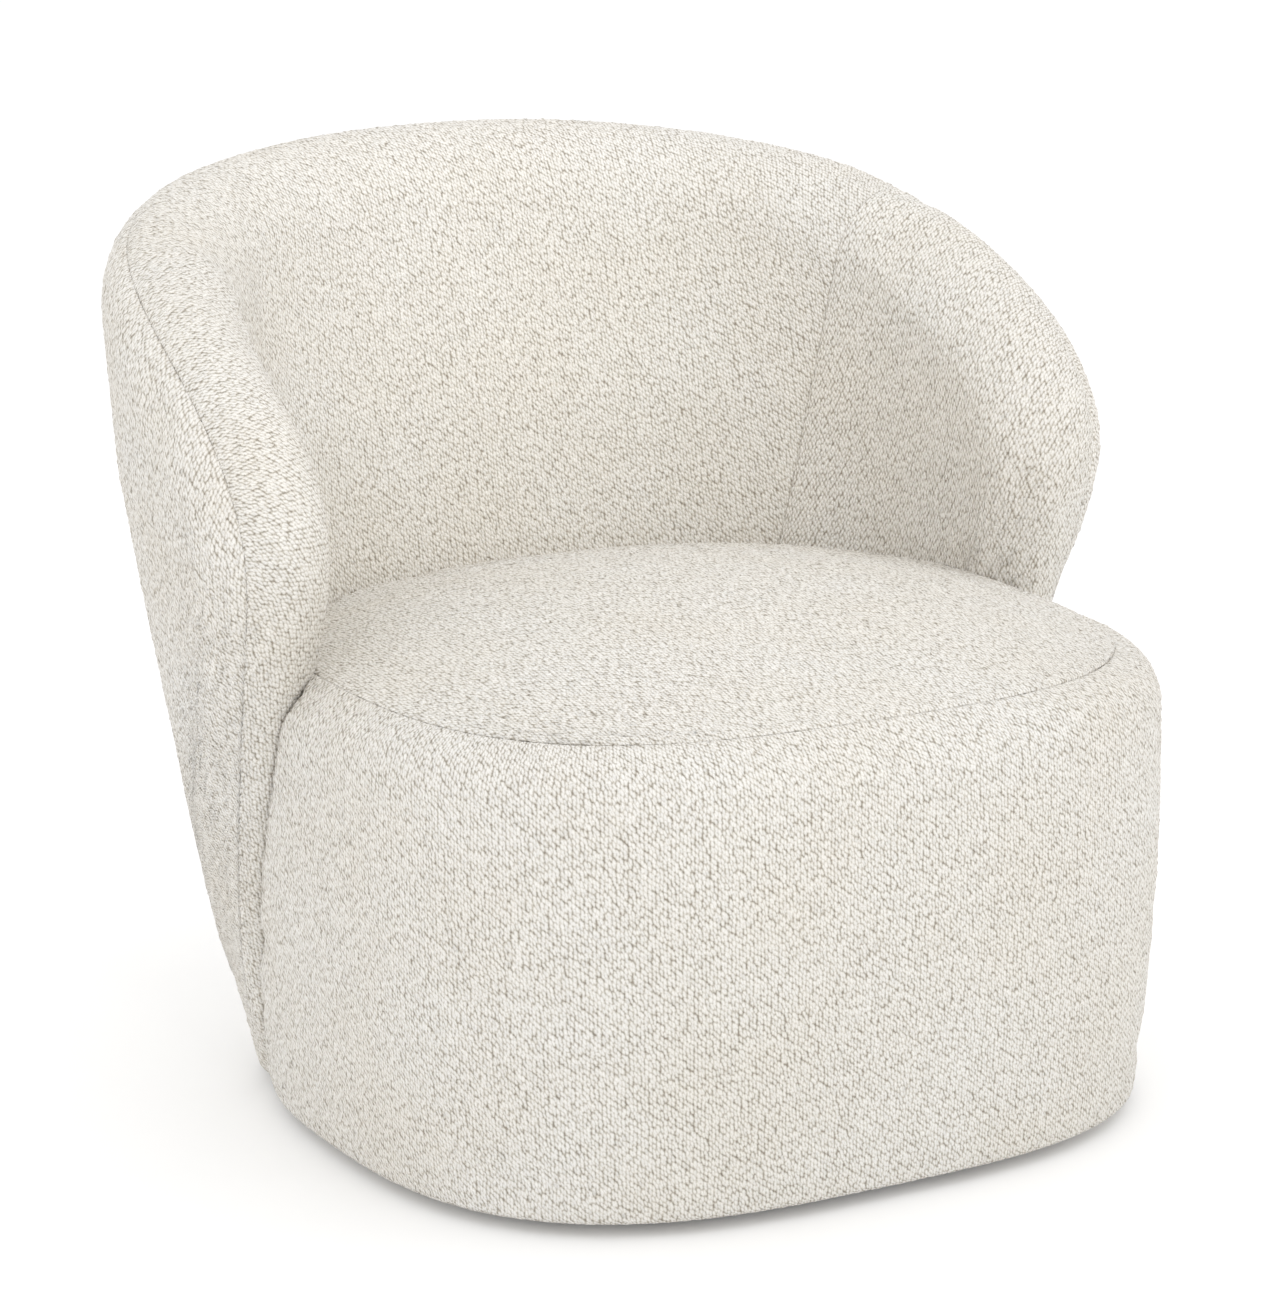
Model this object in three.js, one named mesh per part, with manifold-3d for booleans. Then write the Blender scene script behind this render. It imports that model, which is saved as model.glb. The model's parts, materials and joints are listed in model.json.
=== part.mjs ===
// Swivel tub armchair: an upholstered seat box with a wrap-around back bolted round it, turning on
// a hidden disc base. Millimetres, +Z up, origin on the floor under the chair's middle, and the
// sitter faces -Y.
import * as THREE from 'three';
import { mergeVertices } from 'three/addons/utils/BufferGeometryUtils.js';
import Module from 'manifold-3d';

const wasm = await Module();
wasm.setup();

// ---- Driving dimensions ----

const GAP = 0.3; // clearance left between pieces that touch
const HEM = 14; // floor to the bottom edge of the upholstery
const FABRIC = 2.5; // thickness of the boucle cover

// Seat box, seen from above: a rounded square in front and a round end inside the back.
const SEAT_HALF_WIDTH = 343;
const SEAT_FRONT_REACH = 329;
const SEAT_REAR_REACH = 314;
const SEAT_CENTRE_Y = -72;
const SEAT_FRONT_SQUARENESS = 3;
const SEAT_REAR_SQUARENESS = 2.2;
const SEAT_SEAM_Z = 375; // top of the rounded shoulder, where the top panel begins
const SEAT_CROWN = 39; // rise of the middle of the seat over the seam
const SEAT_SHOULDER = 47; // radius of the rounded shoulder
const SEAT_HEM_SCALE = 0.97; // plan scale at the hem, for a slight inward taper
const SEAT_BULGE = 5; // outward swell of the sides at half height

// Wall of the back, as a middle surface that wraps round the seat and leans outward as it rises.
const WALL_HALF_WIDTH = 318; // at floor height
const WALL_SIDE_FLARE = 0.104; // extra half width per millimetre of height
const WALL_SIDE_BARREL = 6.26e-05; // takes some of that flare back with the height squared
const WALL_REAR_DEPTH = 239;
const WALL_REAR_FLARE = 0.238;
const WALL_ARM_DEPTH = 437;
const WALL_CENTRE_Y = -52;
const WALL_REAR_SQUARENESS = 2.7;
const WALL_ARM_SQUARENESS = 2;
const WALL_THICKNESS = 108; // from shoulder height up
const WALL_HEM_THICKNESS = 33;

// Outline of the wall, unrolled: distance along the wall from the rear centre, against height.
const RIM_TOP_Z = 729;
const RIM_SHOULDER_Z = 498; // height at which the arms reach furthest forward
const RIM_SHOULDER_REACH = 629;
const RIM_HEM_REACH = 350;
const RIM_SOFTNESS = 0.12; // roundness of the arms' front edges where they start to fall back
const RIM_RADIUS = 59; // depth over which the wall's thickness rounds off at the rim
const FIELD_DEPTH = 75; // distance from the rim at which the wall's flat fields begin
const OUTER_SEAM = -0.4; // outside seam, as a place across the rim; see layerPoint
const PANEL_SEAM = 0.335; // share of the rim's length at which the wing panels end
const FAN_FOOT = 250; // half of the hem length from which the upholstery grid fans out

// Hardware and frame.
const SWIVEL_Y = -80; // the swivel stands under the chair's weight, ahead of the origin
const BASE_RADIUS = 230;
const BASE_THICKNESS = 16;
const GLIDE_HEIGHT = 3.5;
const GLIDE_RADIUS = 15;
const GLIDE_COUNT = 4;
const BEARING_PLATE = 180; // side of each square swivel plate
const BEARING_STEEL = 2.5;
const BALL_RADIUS = 4;
const BALL_RING_RADIUS = 62;
const PIVOT_RADIUS = 8;
const SCREW_OFFSET = 72; // of each plate screw from the axis, along X and along Y
const BOARD = 18; // plywood of the seat box
const FRAME_HALF = 8; // half of the depth of the wall's frame, through the wall
const SKIN = 3; // fibreboard skins of the wall
const FRAME_PLAY = 1.8; // clearance between the frame's curved faces and the boards
const FRAME_MARGIN = 60; // distance of the frame's ends from the rim
const DECK_Z = 262; // underside of the spring deck
const SPRING_COUNT = 4;
const SPRING_PITCH = 100;
const SPRING_WIRE = 1.9; // radius
const FELT = 8;

// ---- Materials ----

const material = (name, colour, roughness, metalness = 0) =>
  new THREE.MeshStandardMaterial({ name, color: colour, roughness, metalness });
const boucle = () => material('boucle', 0xe6dfd2, 0.95);
const foam = () => material('foam', 0xe9dca6, 0.9);
const plywood = () => material('plywood', 0xc9a26b, 0.7);
const fibreboard = () => material('fibreboard', 0x8a6a48, 0.8);
const blackBoard = () => material('black_board', 0x17171a, 0.6);
const zincSteel = () => material('zinc_steel', 0xb8bcc0, 0.35, 1);
const springSteel = () => material('spring_steel', 0x4a4d52, 0.4, 1);
const blackCloth = () => material('black_cloth', 0x202022, 0.95);
const felt = () => material('felt', 0x9a958c, 0.95);
const nylon = () => material('nylon', 0xd8d8d2, 0.5);

// ---- Assembly groups ----

const chair = new THREE.Group();
chair.name = 'swivel_tub_armchair';
const base = new THREE.Group();
const seatBox = new THREE.Group();
const backWall = new THREE.Group();
chair.add(base, seatBox, backWall);

function addPiece(group, name, geometry, look) {
  const piece = new THREE.Mesh(geometry, look);
  piece.name = name;
  group.add(piece);
  return piece;
}

// ---- Geometry helpers ----

const mix = (from, to, share) => from + (to - from) * share;
const steps = (count) => Array.from({ length: count + 1 }, (_, i) => i / count);

// Cosine or sine value turned into a superellipse coordinate.
const squared = (value, squareness) => Math.sign(value) * Math.abs(value) ** (2 / squareness);

function toSolid(geometry) {
  const bare = geometry.clone();
  bare.deleteAttribute('normal');
  bare.deleteAttribute('uv');
  const merged = mergeVertices(bare, 1e-3);
  return new wasm.Manifold(
    new wasm.Mesh({
      numProp: 3,
      vertProperties: merged.attributes.position.array,
      triVerts: merged.index.array,
    }),
  );
}

function toGeometry(solid) {
  const mesh = solid.getMesh();
  const geometry = new THREE.BufferGeometry();
  geometry.setAttribute('position', new THREE.BufferAttribute(mesh.vertProperties, 3));
  geometry.setIndex(new THREE.BufferAttribute(mesh.triVerts, 1));
  geometry.computeVertexNormals();
  return geometry;
}

const cutAway = (geometry, cutter) => toGeometry(toSolid(geometry).subtract(cutter));
const drill = (geometry, cutters) => cutters.reduce(cutAway, geometry);

// Closed body from a list of corner points and the quads that join them.
function bodyFrom(points, quads) {
  const geometry = new THREE.BufferGeometry().setFromPoints(points);
  geometry.setIndex(quads.flatMap(([a, b, c, d]) => [a, b, c, a, c, d]));
  const merged = mergeVertices(geometry, 1e-3);
  merged.computeVertexNormals();
  return merged;
}

const turnQuad = ([a, b, c, d]) => [b, c, d, a];

// Closed slab between two grids of points of one size, facing out on the side of `front`. Cells for
// which `turned` holds are split along their other diagonal.
function slab(front, back, turned = () => false) {
  const rows = front.length;
  const columns = front[0].length;
  const at = (side, i, j) => (side * rows + i) * columns + j;
  const quads = [];
  for (let i = 0; i < rows - 1; i++) {
    for (let j = 0; j < columns - 1; j++) {
      const near = [at(0, i, j), at(0, i, j + 1), at(0, i + 1, j + 1), at(0, i + 1, j)];
      const far = [at(1, i, j), at(1, i + 1, j), at(1, i + 1, j + 1), at(1, i, j + 1)];
      quads.push(...[near, far].map((quad) => (turned(i, j) ? turnQuad(quad) : quad)));
    }
  }
  for (let i = 0; i < rows - 1; i++) {
    const last = columns - 1;
    quads.push([at(0, i, 0), at(0, i + 1, 0), at(1, i + 1, 0), at(1, i, 0)]);
    quads.push([at(0, i, last), at(1, i, last), at(1, i + 1, last), at(0, i + 1, last)]);
  }
  for (let j = 0; j < columns - 1; j++) {
    const last = rows - 1;
    quads.push([at(0, 0, j), at(1, 0, j), at(1, 0, j + 1), at(0, 0, j + 1)]);
    quads.push([at(0, last, j), at(0, last, j + 1), at(1, last, j + 1), at(1, last, j)]);
  }
  return bodyFrom([...front.flat(), ...back.flat()], quads);
}

const grid = (rowValues, columnValues, pointAt) =>
  rowValues.map((row) => columnValues.map((column) => pointAt(row, column)));

function drum(radius, bottom, height, sides) {
  const geometry = new THREE.CylinderGeometry(radius, radius, height, sides);
  geometry.rotateX(Math.PI / 2);
  geometry.translate(0, 0, bottom + height / 2);
  return geometry;
}

function block(width, depth, height, bottom) {
  const geometry = new THREE.BoxGeometry(width, depth, height);
  geometry.translate(0, 0, bottom + height / 2);
  return geometry;
}

// ---- Wall coordinates ----

// Half of the wall's plan at one height, from the rear centre round to the front of one arm.
function wallPlan(z) {
  const halfWidth = WALL_HALF_WIDTH + WALL_SIDE_FLARE * z - WALL_SIDE_BARREL * z * z;
  const rearDepth = WALL_REAR_DEPTH + WALL_REAR_FLARE * z;
  return steps(150).map((share) => {
    const turn = share * Math.PI;
    const atRear = Math.cos(turn) > 0;
    const squareness = atRear ? WALL_REAR_SQUARENESS : WALL_ARM_SQUARENESS;
    const depth = atRear ? rearDepth : WALL_ARM_DEPTH;
    return new THREE.Vector2(
      halfWidth * squared(Math.sin(turn), squareness),
      WALL_CENTRE_Y + depth * squared(Math.cos(turn), squareness),
    );
  });
}

// Point of a plan, a signed distance along it from its first point.
function walkPlan(plan, distance) {
  let left = Math.abs(distance);
  let i = 1;
  while (i < plan.length - 1 && plan[i].distanceTo(plan[i - 1]) < left) {
    left -= plan[i].distanceTo(plan[i - 1]);
    i += 1;
  }
  const length = plan[i].distanceTo(plan[i - 1]);
  const point = plan[i - 1].clone().lerp(plan[i], left / length);
  return new THREE.Vector2(Math.sign(distance) * point.x, point.y);
}

// Point of the wall: `along` from the rear centre, height z, and `outward` from the middle surface.
function wallPoint(along, z, outward) {
  const reach = 6;
  const plan = wallPlan(z);
  const here = walkPlan(plan, along);
  const tangent = walkPlan(plan, along + reach).sub(walkPlan(plan, along - reach)).normalize();
  return new THREE.Vector3(here.x - tangent.y * outward, here.y + tangent.x * outward, z);
}

// Signed distance along the wall at which its rim stands at one height.
function rimReach(z) {
  if (z < RIM_SHOULDER_Z) {
    const drop = (RIM_SHOULDER_Z - z) / (RIM_SHOULDER_Z - HEM);
    const fall = Math.hypot(drop, RIM_SOFTNESS) - RIM_SOFTNESS;
    const fullFall = Math.hypot(1, RIM_SOFTNESS) - RIM_SOFTNESS;
    return mix(RIM_SHOULDER_REACH, RIM_HEM_REACH, fall / fullFall);
  }
  const rise = (z - RIM_SHOULDER_Z) / (RIM_TOP_Z - RIM_SHOULDER_Z);
  return RIM_SHOULDER_REACH * Math.sqrt(1 - rise * rise);
}

// The rim, unrolled, from one arm's hem (at -X) over the top to the other arm's hem.
function rimCurve() {
  const edge = steps(12).map((share) => {
    const z = mix(HEM, RIM_SHOULDER_Z, share);
    return new THREE.Vector2(rimReach(z), z);
  });
  const arch = steps(24)
    .slice(1)
    .map((share) => {
      const turn = (share * Math.PI) / 2;
      return new THREE.Vector2(
        RIM_SHOULDER_REACH * Math.cos(turn),
        mix(RIM_SHOULDER_Z, RIM_TOP_Z, Math.sin(turn)),
      );
    });
  const half = [...edge, ...arch];
  const mirrored = half.slice(0, -1).map((point) => new THREE.Vector2(-point.x, point.y));
  const curve = new THREE.SplineCurve([...mirrored, ...half.reverse()]);
  curve.arcLengthDivisions = 600;
  return curve;
}
const RIM = rimCurve();

const thicknessAt = (z) =>
  mix(WALL_HEM_THICKNESS, WALL_THICKNESS, Math.min(z / RIM_SHOULDER_Z, 1));

// A layer of the wall's upholstery: how deep it lies at the rim, how deep its rounding is, and how
// far it stands off the middle surface elsewhere.
const coverLayer = (depth) => ({
  inset: depth,
  rounding: RIM_RADIUS - depth,
  offset: (z) => thicknessAt(z) / 2 - depth,
});
const frameLayer = (standOff) => ({ inset: 38, rounding: 8, offset: () => standOff });

// Point of a layer. `share` runs along the rim; `across` runs from -3 at the outside hem, over -2
// at the field's top outside, -1 to 1 round the rim, 2 at the field's top inside, and 3 at the
// inside hem.
function layerPoint(layer, share, across) {
  const rim = RIM.getPointAt(share);
  const tangent = RIM.getTangentAt(share);
  const foot = new THREE.Vector2(-FAN_FOOT * Math.cos(share * Math.PI), HEM);
  const inward = foot.clone().sub(rim).normalize();
  const slant = inward.x * tangent.y - inward.y * tangent.x;
  const turn = (Math.min(Math.abs(across), 1) * Math.PI) / 2;
  const band = Math.min(Math.max(Math.abs(across) - 1, 0), 1);
  const field = Math.max(Math.abs(across) - 2, 0);
  const rounded = layer.inset + layer.rounding * (1 - Math.cos(turn));
  const depth = mix(rounded, FIELD_DEPTH, band);
  const spot = rim.addScaledVector(inward, depth / slant).lerp(foot, field);
  return wallPoint(spot.x, spot.y, -Math.sign(across) * layer.offset(spot.y) * Math.sin(turn));
}

// Places across the wall that every layer shares, so that facets run parallel.
const OUTSIDE_FIELD = [-3, -2.8, -2.6, -2.4, -2.2, -2];
const OUTSIDE_ROUND = [-1, -0.7, OUTER_SEAM];
const INSIDE_ROUND = [-0.2, 0, 0.33, 0.67, 1];
const INSIDE_FIELD = [2, 2.2, 2.4, 2.6, 2.8, 3];
const ALL_ROUND = [...OUTSIDE_FIELD, ...OUTSIDE_ROUND, ...INSIDE_ROUND, ...INSIDE_FIELD];
const SEAM_SLIT = 0.01; // places across left open at each long seam
const shares = (from, to, count) => steps(count).map((share) => mix(from, to, share));

// The rim's length, cut into the two wing panels and the middle panel between them.
const WING_SHARES = shares(0, PANEL_SEAM, 12);
const MIDDLE_SHARES = shares(PANEL_SEAM, 1 - PANEL_SEAM, 12);
const FAR_WING_SHARES = shares(1 - PANEL_SEAM, 1, 12);
const WALL_SHARES = [...WING_SHARES, ...MIDDLE_SHARES.slice(1), ...FAR_WING_SHARES.slice(1)];

// The same three stretches with the slit of a seam between them.
const SHARE_SLIT = 0.0002;
const STRETCHES = [
  { side: 'right', along: [...WING_SHARES.slice(0, -1), PANEL_SEAM - SHARE_SLIT] },
  { side: 'back', along: MIDDLE_SHARES },
  { side: 'left', along: [1 - PANEL_SEAM + SHARE_SLIT, ...FAR_WING_SHARES.slice(1)] },
];

const layerGrid = (layer, along, across) =>
  grid(along, across, (share, place) => layerPoint(layer, share, place));

// Cells are split alike on both faces of the wall and as mirror images on its two halves, so that
// the facets of every layer run parallel.
const splitRule = (along, across) => (i, j) => along[i] < 0.5 === across[j] < 0;

// Closed body between two layers of the wall.
const wallSlab = (outer, inner, along, across) =>
  slab(
    layerGrid(outer, along, across),
    layerGrid(inner, along, across),
    splitRule(along, across),
  );

// ---- Seat box coordinates ----

// The seat's plan is drawn with equal steps of angle, which every layer shares.
const SEAT_SIDES = 40;
const seatAngle = (step) => (step / SEAT_SIDES) * Math.PI * 2;
const seatAngles = (firstStep, lastStep) => {
  const count = Math.max(Math.round(Math.abs(lastStep - firstStep)), 1);
  return shares(firstStep, lastStep, count).map(seatAngle);
};

// Half sizes of the seat's plan towards an angle; angles count anticlockwise from +X.
function seatPlan(angle) {
  const inFront = Math.sin(angle) < 0;
  const squareness = inFront ? SEAT_FRONT_SQUARENESS : SEAT_REAR_SQUARENESS;
  const reach = inFront ? SEAT_FRONT_REACH : SEAT_REAR_REACH;
  return new THREE.Vector2(
    SEAT_HALF_WIDTH * squared(Math.cos(angle), squareness),
    reach * squared(Math.sin(angle), squareness),
  );
}

// Point of a layer of the seat. `climb` runs from 0 at the hem to 1 at the foot of the shoulder,
// 2 at the seam and 3 at the middle of the top.
function seatPoint(depth, angle, climb) {
  const lift = Math.min(climb, 1);
  const turn = (Math.min(Math.max(climb - 1, 0), 1) * Math.PI) / 2;
  const centring = Math.max(climb - 2, 0);
  const radius = SEAT_SHOULDER - depth;
  const shoulderFoot = SEAT_SEAM_Z - SEAT_SHOULDER;
  const inset = depth + radius * (1 - Math.cos(turn)) - SEAT_BULGE * Math.sin(lift * Math.PI);
  const taper = mix(SEAT_HEM_SCALE, 1, lift);
  const scale = taper * (1 - inset / SEAT_HALF_WIDTH) * (1 - centring);
  const plan = seatPlan(angle).multiplyScalar(scale);
  const crown = SEAT_CROWN * (1 - (1 - centring) ** 2);
  const z = climb < 1 ? mix(HEM, shoulderFoot, lift) : shoulderFoot + radius * Math.sin(turn);
  return new THREE.Vector3(plan.x, SEAT_CENTRE_Y + plan.y, z + crown);
}

// Closed seat body between two layers of one climb range, all the way round or over an arc.
const seatBand = (outerDepth, innerDepth, angles, climbs) =>
  slab(
    grid(angles, climbs, (angle, climb) => seatPoint(outerDepth, angle, climb)),
    grid(angles, climbs, (angle, climb) => seatPoint(innerDepth, angle, climb)),
  );

// Solid dome whose sides follow one seat layer, from a floor height up to the crown.
function seatDome(depth, floorZ, climbs) {
  const sides = SEAT_SIDES;
  const ring = (pointAt) => seatAngles(0, sides - 1).map(pointAt);
  const rings = [
    ring((angle) => seatPoint(depth, angle, climbs[0]).setZ(floorZ)),
    ...climbs.map((climb) => ring((angle) => seatPoint(depth, angle, climb))),
  ];
  const low = new THREE.Vector3(0, SEAT_CENTRE_Y, floorZ);
  const high = seatPoint(depth, 0, 3);
  const points = [...rings.flat(), low, high];
  const lowIndex = points.length - 2;
  const highIndex = points.length - 1;
  const quads = [];
  for (let i = 0; i < rings.length - 1; i++) {
    for (let j = 0; j < sides; j++) {
      const next = (j + 1) % sides;
      quads.push([i * sides + j, i * sides + next, (i + 1) * sides + next, (i + 1) * sides + j]);
    }
  }
  const triangles = quads.flatMap(([a, b, c, d]) => [a, b, c, a, c, d]);
  const lastRing = (rings.length - 1) * sides;
  for (let j = 0; j < sides; j++) {
    const next = (j + 1) % sides;
    triangles.push(lowIndex, next, j);
    triangles.push(lastRing + j, lastRing + next, highIndex);
  }
  const geometry = new THREE.BufferGeometry().setFromPoints(points);
  geometry.setIndex(triangles);
  geometry.computeVertexNormals();
  return geometry;
}

// Flat plate that follows the seat's plan, set in by `inset`.
function seatPlate(inset, bottom, thickness) {
  const scale = SEAT_HEM_SCALE * (1 - inset / SEAT_HALF_WIDTH);
  const outline = seatAngles(0, SEAT_SIDES - 1).map((angle) =>
    seatPlan(angle).multiplyScalar(scale),
  );
  const plate = new THREE.ExtrudeGeometry(new THREE.Shape(outline), {
    depth: thickness,
    bevelEnabled: false,
  });
  plate.translate(0, SEAT_CENTRE_Y, bottom);
  return plate;
}

// The room taken up by the whole back wall, a little enlarged: every seat piece keeps out of it.
function wallEnvelope() {
  const surface = layerGrid(coverLayer(-GAP), WALL_SHARES, ALL_ROUND);
  const lastRow = surface.length - 1;
  const lastColumn = ALL_ROUND.length - 1;
  const at = (i, j) => i * ALL_ROUND.length + j;
  const quads = [];
  const turned = splitRule(WALL_SHARES, ALL_ROUND);
  for (let i = 0; i < lastRow; i++) {
    for (let j = 0; j < lastColumn; j++) {
      const quad = [at(i, j), at(i, j + 1), at(i + 1, j + 1), at(i + 1, j)];
      quads.push(turned(i, j) ? turnQuad(quad) : quad);
    }
    quads.push([at(i, 0), at(i + 1, 0), at(i + 1, lastColumn), at(i, lastColumn)]);
  }
  for (let j = 0; j < Math.floor(lastColumn / 2); j++) {
    const k = lastColumn - j;
    quads.push([at(0, j), at(0, k), at(0, k - 1), at(0, j + 1)]);
    quads.push([at(lastRow, j), at(lastRow, j + 1), at(lastRow, k - 1), at(lastRow, k)]);
  }
  return toSolid(bodyFrom(surface.flat(), quads));
}

// The space just outside the wall, which no seat piece may reach into either.
function outsideOfWall() {
  const reach = 80;
  const layer = { ...coverLayer(0), offset: (z) => thicknessAt(z) / 2 + reach };
  return toSolid(wallSlab(layer, coverLayer(0), WALL_SHARES, [...OUTSIDE_FIELD, -1, -0.7]));
}
const WALL_ROOM = wallEnvelope().add(outsideOfWall());

// A seat piece cut back to the wall; offcuts on the wall's far side are dropped.
function trimToWall(geometry) {
  const parts = toSolid(geometry).subtract(WALL_ROOM).decompose();
  return toGeometry(parts.reduce((most, part) => (part.volume() > most.volume() ? part : most)));
}

// ---- Disc base, which stays on the floor ----

const DISC_BOTTOM = GLIDE_HEIGHT + GAP;
const LOWER_PLATE_BOTTOM = DISC_BOTTOM + BASE_THICKNESS + GAP;
const LOWER_PLATE_TOP = LOWER_PLATE_BOTTOM + BEARING_STEEL;
const UPPER_PLATE_BOTTOM = LOWER_PLATE_TOP + 2 * (BALL_RADIUS + GAP);
const UPPER_PLATE_TOP = UPPER_PLATE_BOTTOM + BEARING_STEEL;
const BOARD_BOTTOM = UPPER_PLATE_TOP + GAP;
const BOARD_TOP = BOARD_BOTTOM + BOARD;

const ringOf = (count, radius, startAngle = 0) =>
  Array.from({ length: count }, (_, i) => {
    const angle = startAngle + (i / count) * Math.PI * 2;
    return new THREE.Vector2(radius * Math.cos(angle), radius * Math.sin(angle));
  });

// Four spots, one in each quarter of the plates.
const SCREW_SPOTS = ringOf(4, SCREW_OFFSET * Math.SQRT2, Math.PI / 4);

// Countersunk screw standing on its tip, its head's flat face at the top.
function screwGeometry(shank, headTop, headRadius, shankRadius) {
  const profile = [
    new THREE.Vector2(0, headTop - shank),
    new THREE.Vector2(shankRadius * 0.4, headTop - shank),
    new THREE.Vector2(shankRadius, headTop - shank + shankRadius * 2),
    new THREE.Vector2(shankRadius, headTop - headRadius * 0.6),
    new THREE.Vector2(headRadius, headTop - headRadius * 0.2),
    new THREE.Vector2(headRadius, headTop),
    new THREE.Vector2(0, headTop),
  ];
  const geometry = new THREE.LatheGeometry(profile, 8);
  geometry.rotateX(Math.PI / 2);
  return geometry;
}

function buildBase() {
  base.position.set(0, SWIVEL_Y, 0);
  ringOf(GLIDE_COUNT, BASE_RADIUS - 32, Math.PI / 4).forEach((spot, i) => {
    const pad = drum(GLIDE_RADIUS, 0, GLIDE_HEIGHT, 20);
    addPiece(base, `glide_${i + 1}`, pad, felt()).position.set(spot.x, spot.y, 0);
  });
  const well = toSolid(drum(PIVOT_RADIUS * 2, 0, BASE_THICKNESS * 2, 24));
  const screw = screwGeometry(BASE_THICKNESS, LOWER_PLATE_TOP, 4.5, 2.2);
  const screwHole = screwGeometry(BASE_THICKNESS + 1, LOWER_PLATE_TOP + GAP, 5, 2.5);
  const screwHoles = SCREW_SPOTS.map((spot) =>
    toSolid(screwHole.clone().translate(spot.x, spot.y, 0)),
  );

  const disc = drum(BASE_RADIUS, DISC_BOTTOM, BASE_THICKNESS, 56);
  addPiece(base, 'base_disc', drill(disc, [well, ...screwHoles]), blackBoard());

  const pivotHole = toSolid(drum(PIVOT_RADIUS + 0.1, 0, LOWER_PLATE_TOP * 2, 20));
  const plate = block(BEARING_PLATE, BEARING_PLATE, BEARING_STEEL, LOWER_PLATE_BOTTOM);
  addPiece(base, 'swivel_lower_plate', drill(plate, [pivotHole, ...screwHoles]), zincSteel());
  SCREW_SPOTS.forEach((spot, i) => {
    const piece = addPiece(base, `lower_plate_screw_${i + 1}`, screw.clone(), zincSteel());
    piece.position.set(spot.x, spot.y, 0);
  });
}

// ---- Ball bearing and the half of the swivel that turns ----

// Flat ring with a row of balls set into it, as one body.
function ballCageGeometry() {
  const middle = (LOWER_PLATE_TOP + UPPER_PLATE_BOTTOM) / 2;
  const ring = new THREE.Shape().absarc(0, 0, BALL_RING_RADIUS + 6, 0, Math.PI * 2);
  ring.holes.push(new THREE.Path().absarc(0, 0, BALL_RING_RADIUS - 6, 0, Math.PI * 2));
  const strip = new THREE.ExtrudeGeometry(ring, { depth: 2, bevelEnabled: false, curveSegments: 10 });
  strip.translate(0, 0, middle - 1);
  return ringOf(10, BALL_RING_RADIUS).reduce((cage, spot) => {
    const ball = new THREE.SphereGeometry(BALL_RADIUS, 6, 5);
    ball.rotateX(Math.PI / 2);
    ball.translate(spot.x, spot.y, middle);
    return toGeometry(toSolid(cage).add(toSolid(ball)));
  }, strip);
}

// Pivot with a flared head under the lower plate and a tenon riveted into the upper plate.
function pivotGeometry() {
  const tenon = PIVOT_RADIUS - 2;
  const headTop = LOWER_PLATE_BOTTOM - GAP;
  const profile = [
    new THREE.Vector2(0, headTop - 3),
    new THREE.Vector2(PIVOT_RADIUS + 4, headTop - 3),
    new THREE.Vector2(PIVOT_RADIUS + 4, headTop),
    new THREE.Vector2(PIVOT_RADIUS, headTop),
    new THREE.Vector2(PIVOT_RADIUS, UPPER_PLATE_BOTTOM - GAP),
    new THREE.Vector2(tenon, UPPER_PLATE_BOTTOM - GAP),
    new THREE.Vector2(tenon, UPPER_PLATE_TOP),
    new THREE.Vector2(0, UPPER_PLATE_TOP),
  ];
  const geometry = new THREE.LatheGeometry(profile, 20);
  geometry.rotateX(Math.PI / 2);
  return geometry;
}

function buildSwivelTop() {
  const swivelTop = new THREE.Group();
  swivelTop.position.set(0, SWIVEL_Y, 0);
  seatBox.add(swivelTop);
  addPiece(base, 'ball_cage', ballCageGeometry(), nylon());
  addPiece(swivelTop, 'swivel_pivot', pivotGeometry(), zincSteel());
  const tenonHole = toSolid(drum(PIVOT_RADIUS - 2 + GAP, 0, BOARD_TOP, 20));
  const boltHoles = SCREW_SPOTS.map((spot) =>
    toSolid(drum(3 + GAP, 0, BOARD_TOP, 8).translate(spot.x, spot.y, 0)),
  );
  const plate = block(BEARING_PLATE, BEARING_PLATE, BEARING_STEEL, UPPER_PLATE_BOTTOM);
  addPiece(swivelTop, 'swivel_upper_plate', drill(plate, [tenonHole, ...boltHoles]), zincSteel());
  SCREW_SPOTS.forEach((spot, i) => {
    const head = drum(6, UPPER_PLATE_BOTTOM - GAP - 3.5, 3.5, 8);
    const shank = drum(3, UPPER_PLATE_BOTTOM - GAP - 1, BOARD_TOP - UPPER_PLATE_BOTTOM - 2, 8);
    const bolt = toGeometry(toSolid(head).add(toSolid(shank)));
    addPiece(swivelTop, `upper_plate_bolt_${i + 1}`, bolt, zincSteel()).position.set(spot.x, spot.y, 0);
  });
}

// ---- Seat box ----

const FRAME_INSET = 20; // fabric, foam and clearance outside the plywood panels
const PANEL_PLY = 12;
const POST = 38;
const OPENING_HALF_WIDTH = 205;
const OPENING_FRONT_Y = -315;
const OPENING_REAR_Y = 130;
const SPRING_BOTTOM = DECK_Z + BOARD + GAP;
const FELT_BOTTOM = SPRING_BOTTOM + 2 * SPRING_WIRE + GAP;
const FOAM_BOTTOM = FELT_BOTTOM + FELT + GAP;
const SEAM_CLIMB = 1.8; // where on the rounded shoulder the top panel is sewn on
const SEAM_GROOVE = 0.02; // share of the shoulder left open below that seam

// Arcs round the seat's plan in clockwise order, so that the seat bands face outward.
const COVER_ARC = seatAngles(44, 16);
const REAR_ARC = [seatAngle(15.96), ...seatAngles(15, 5), seatAngle(4.04)];
const FRONT_ARC = seatAngles(38, 22);
const LEFT_ARC = seatAngles(41, 38.05);
const RIGHT_ARC = seatAngles(21.95, 19);

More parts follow.
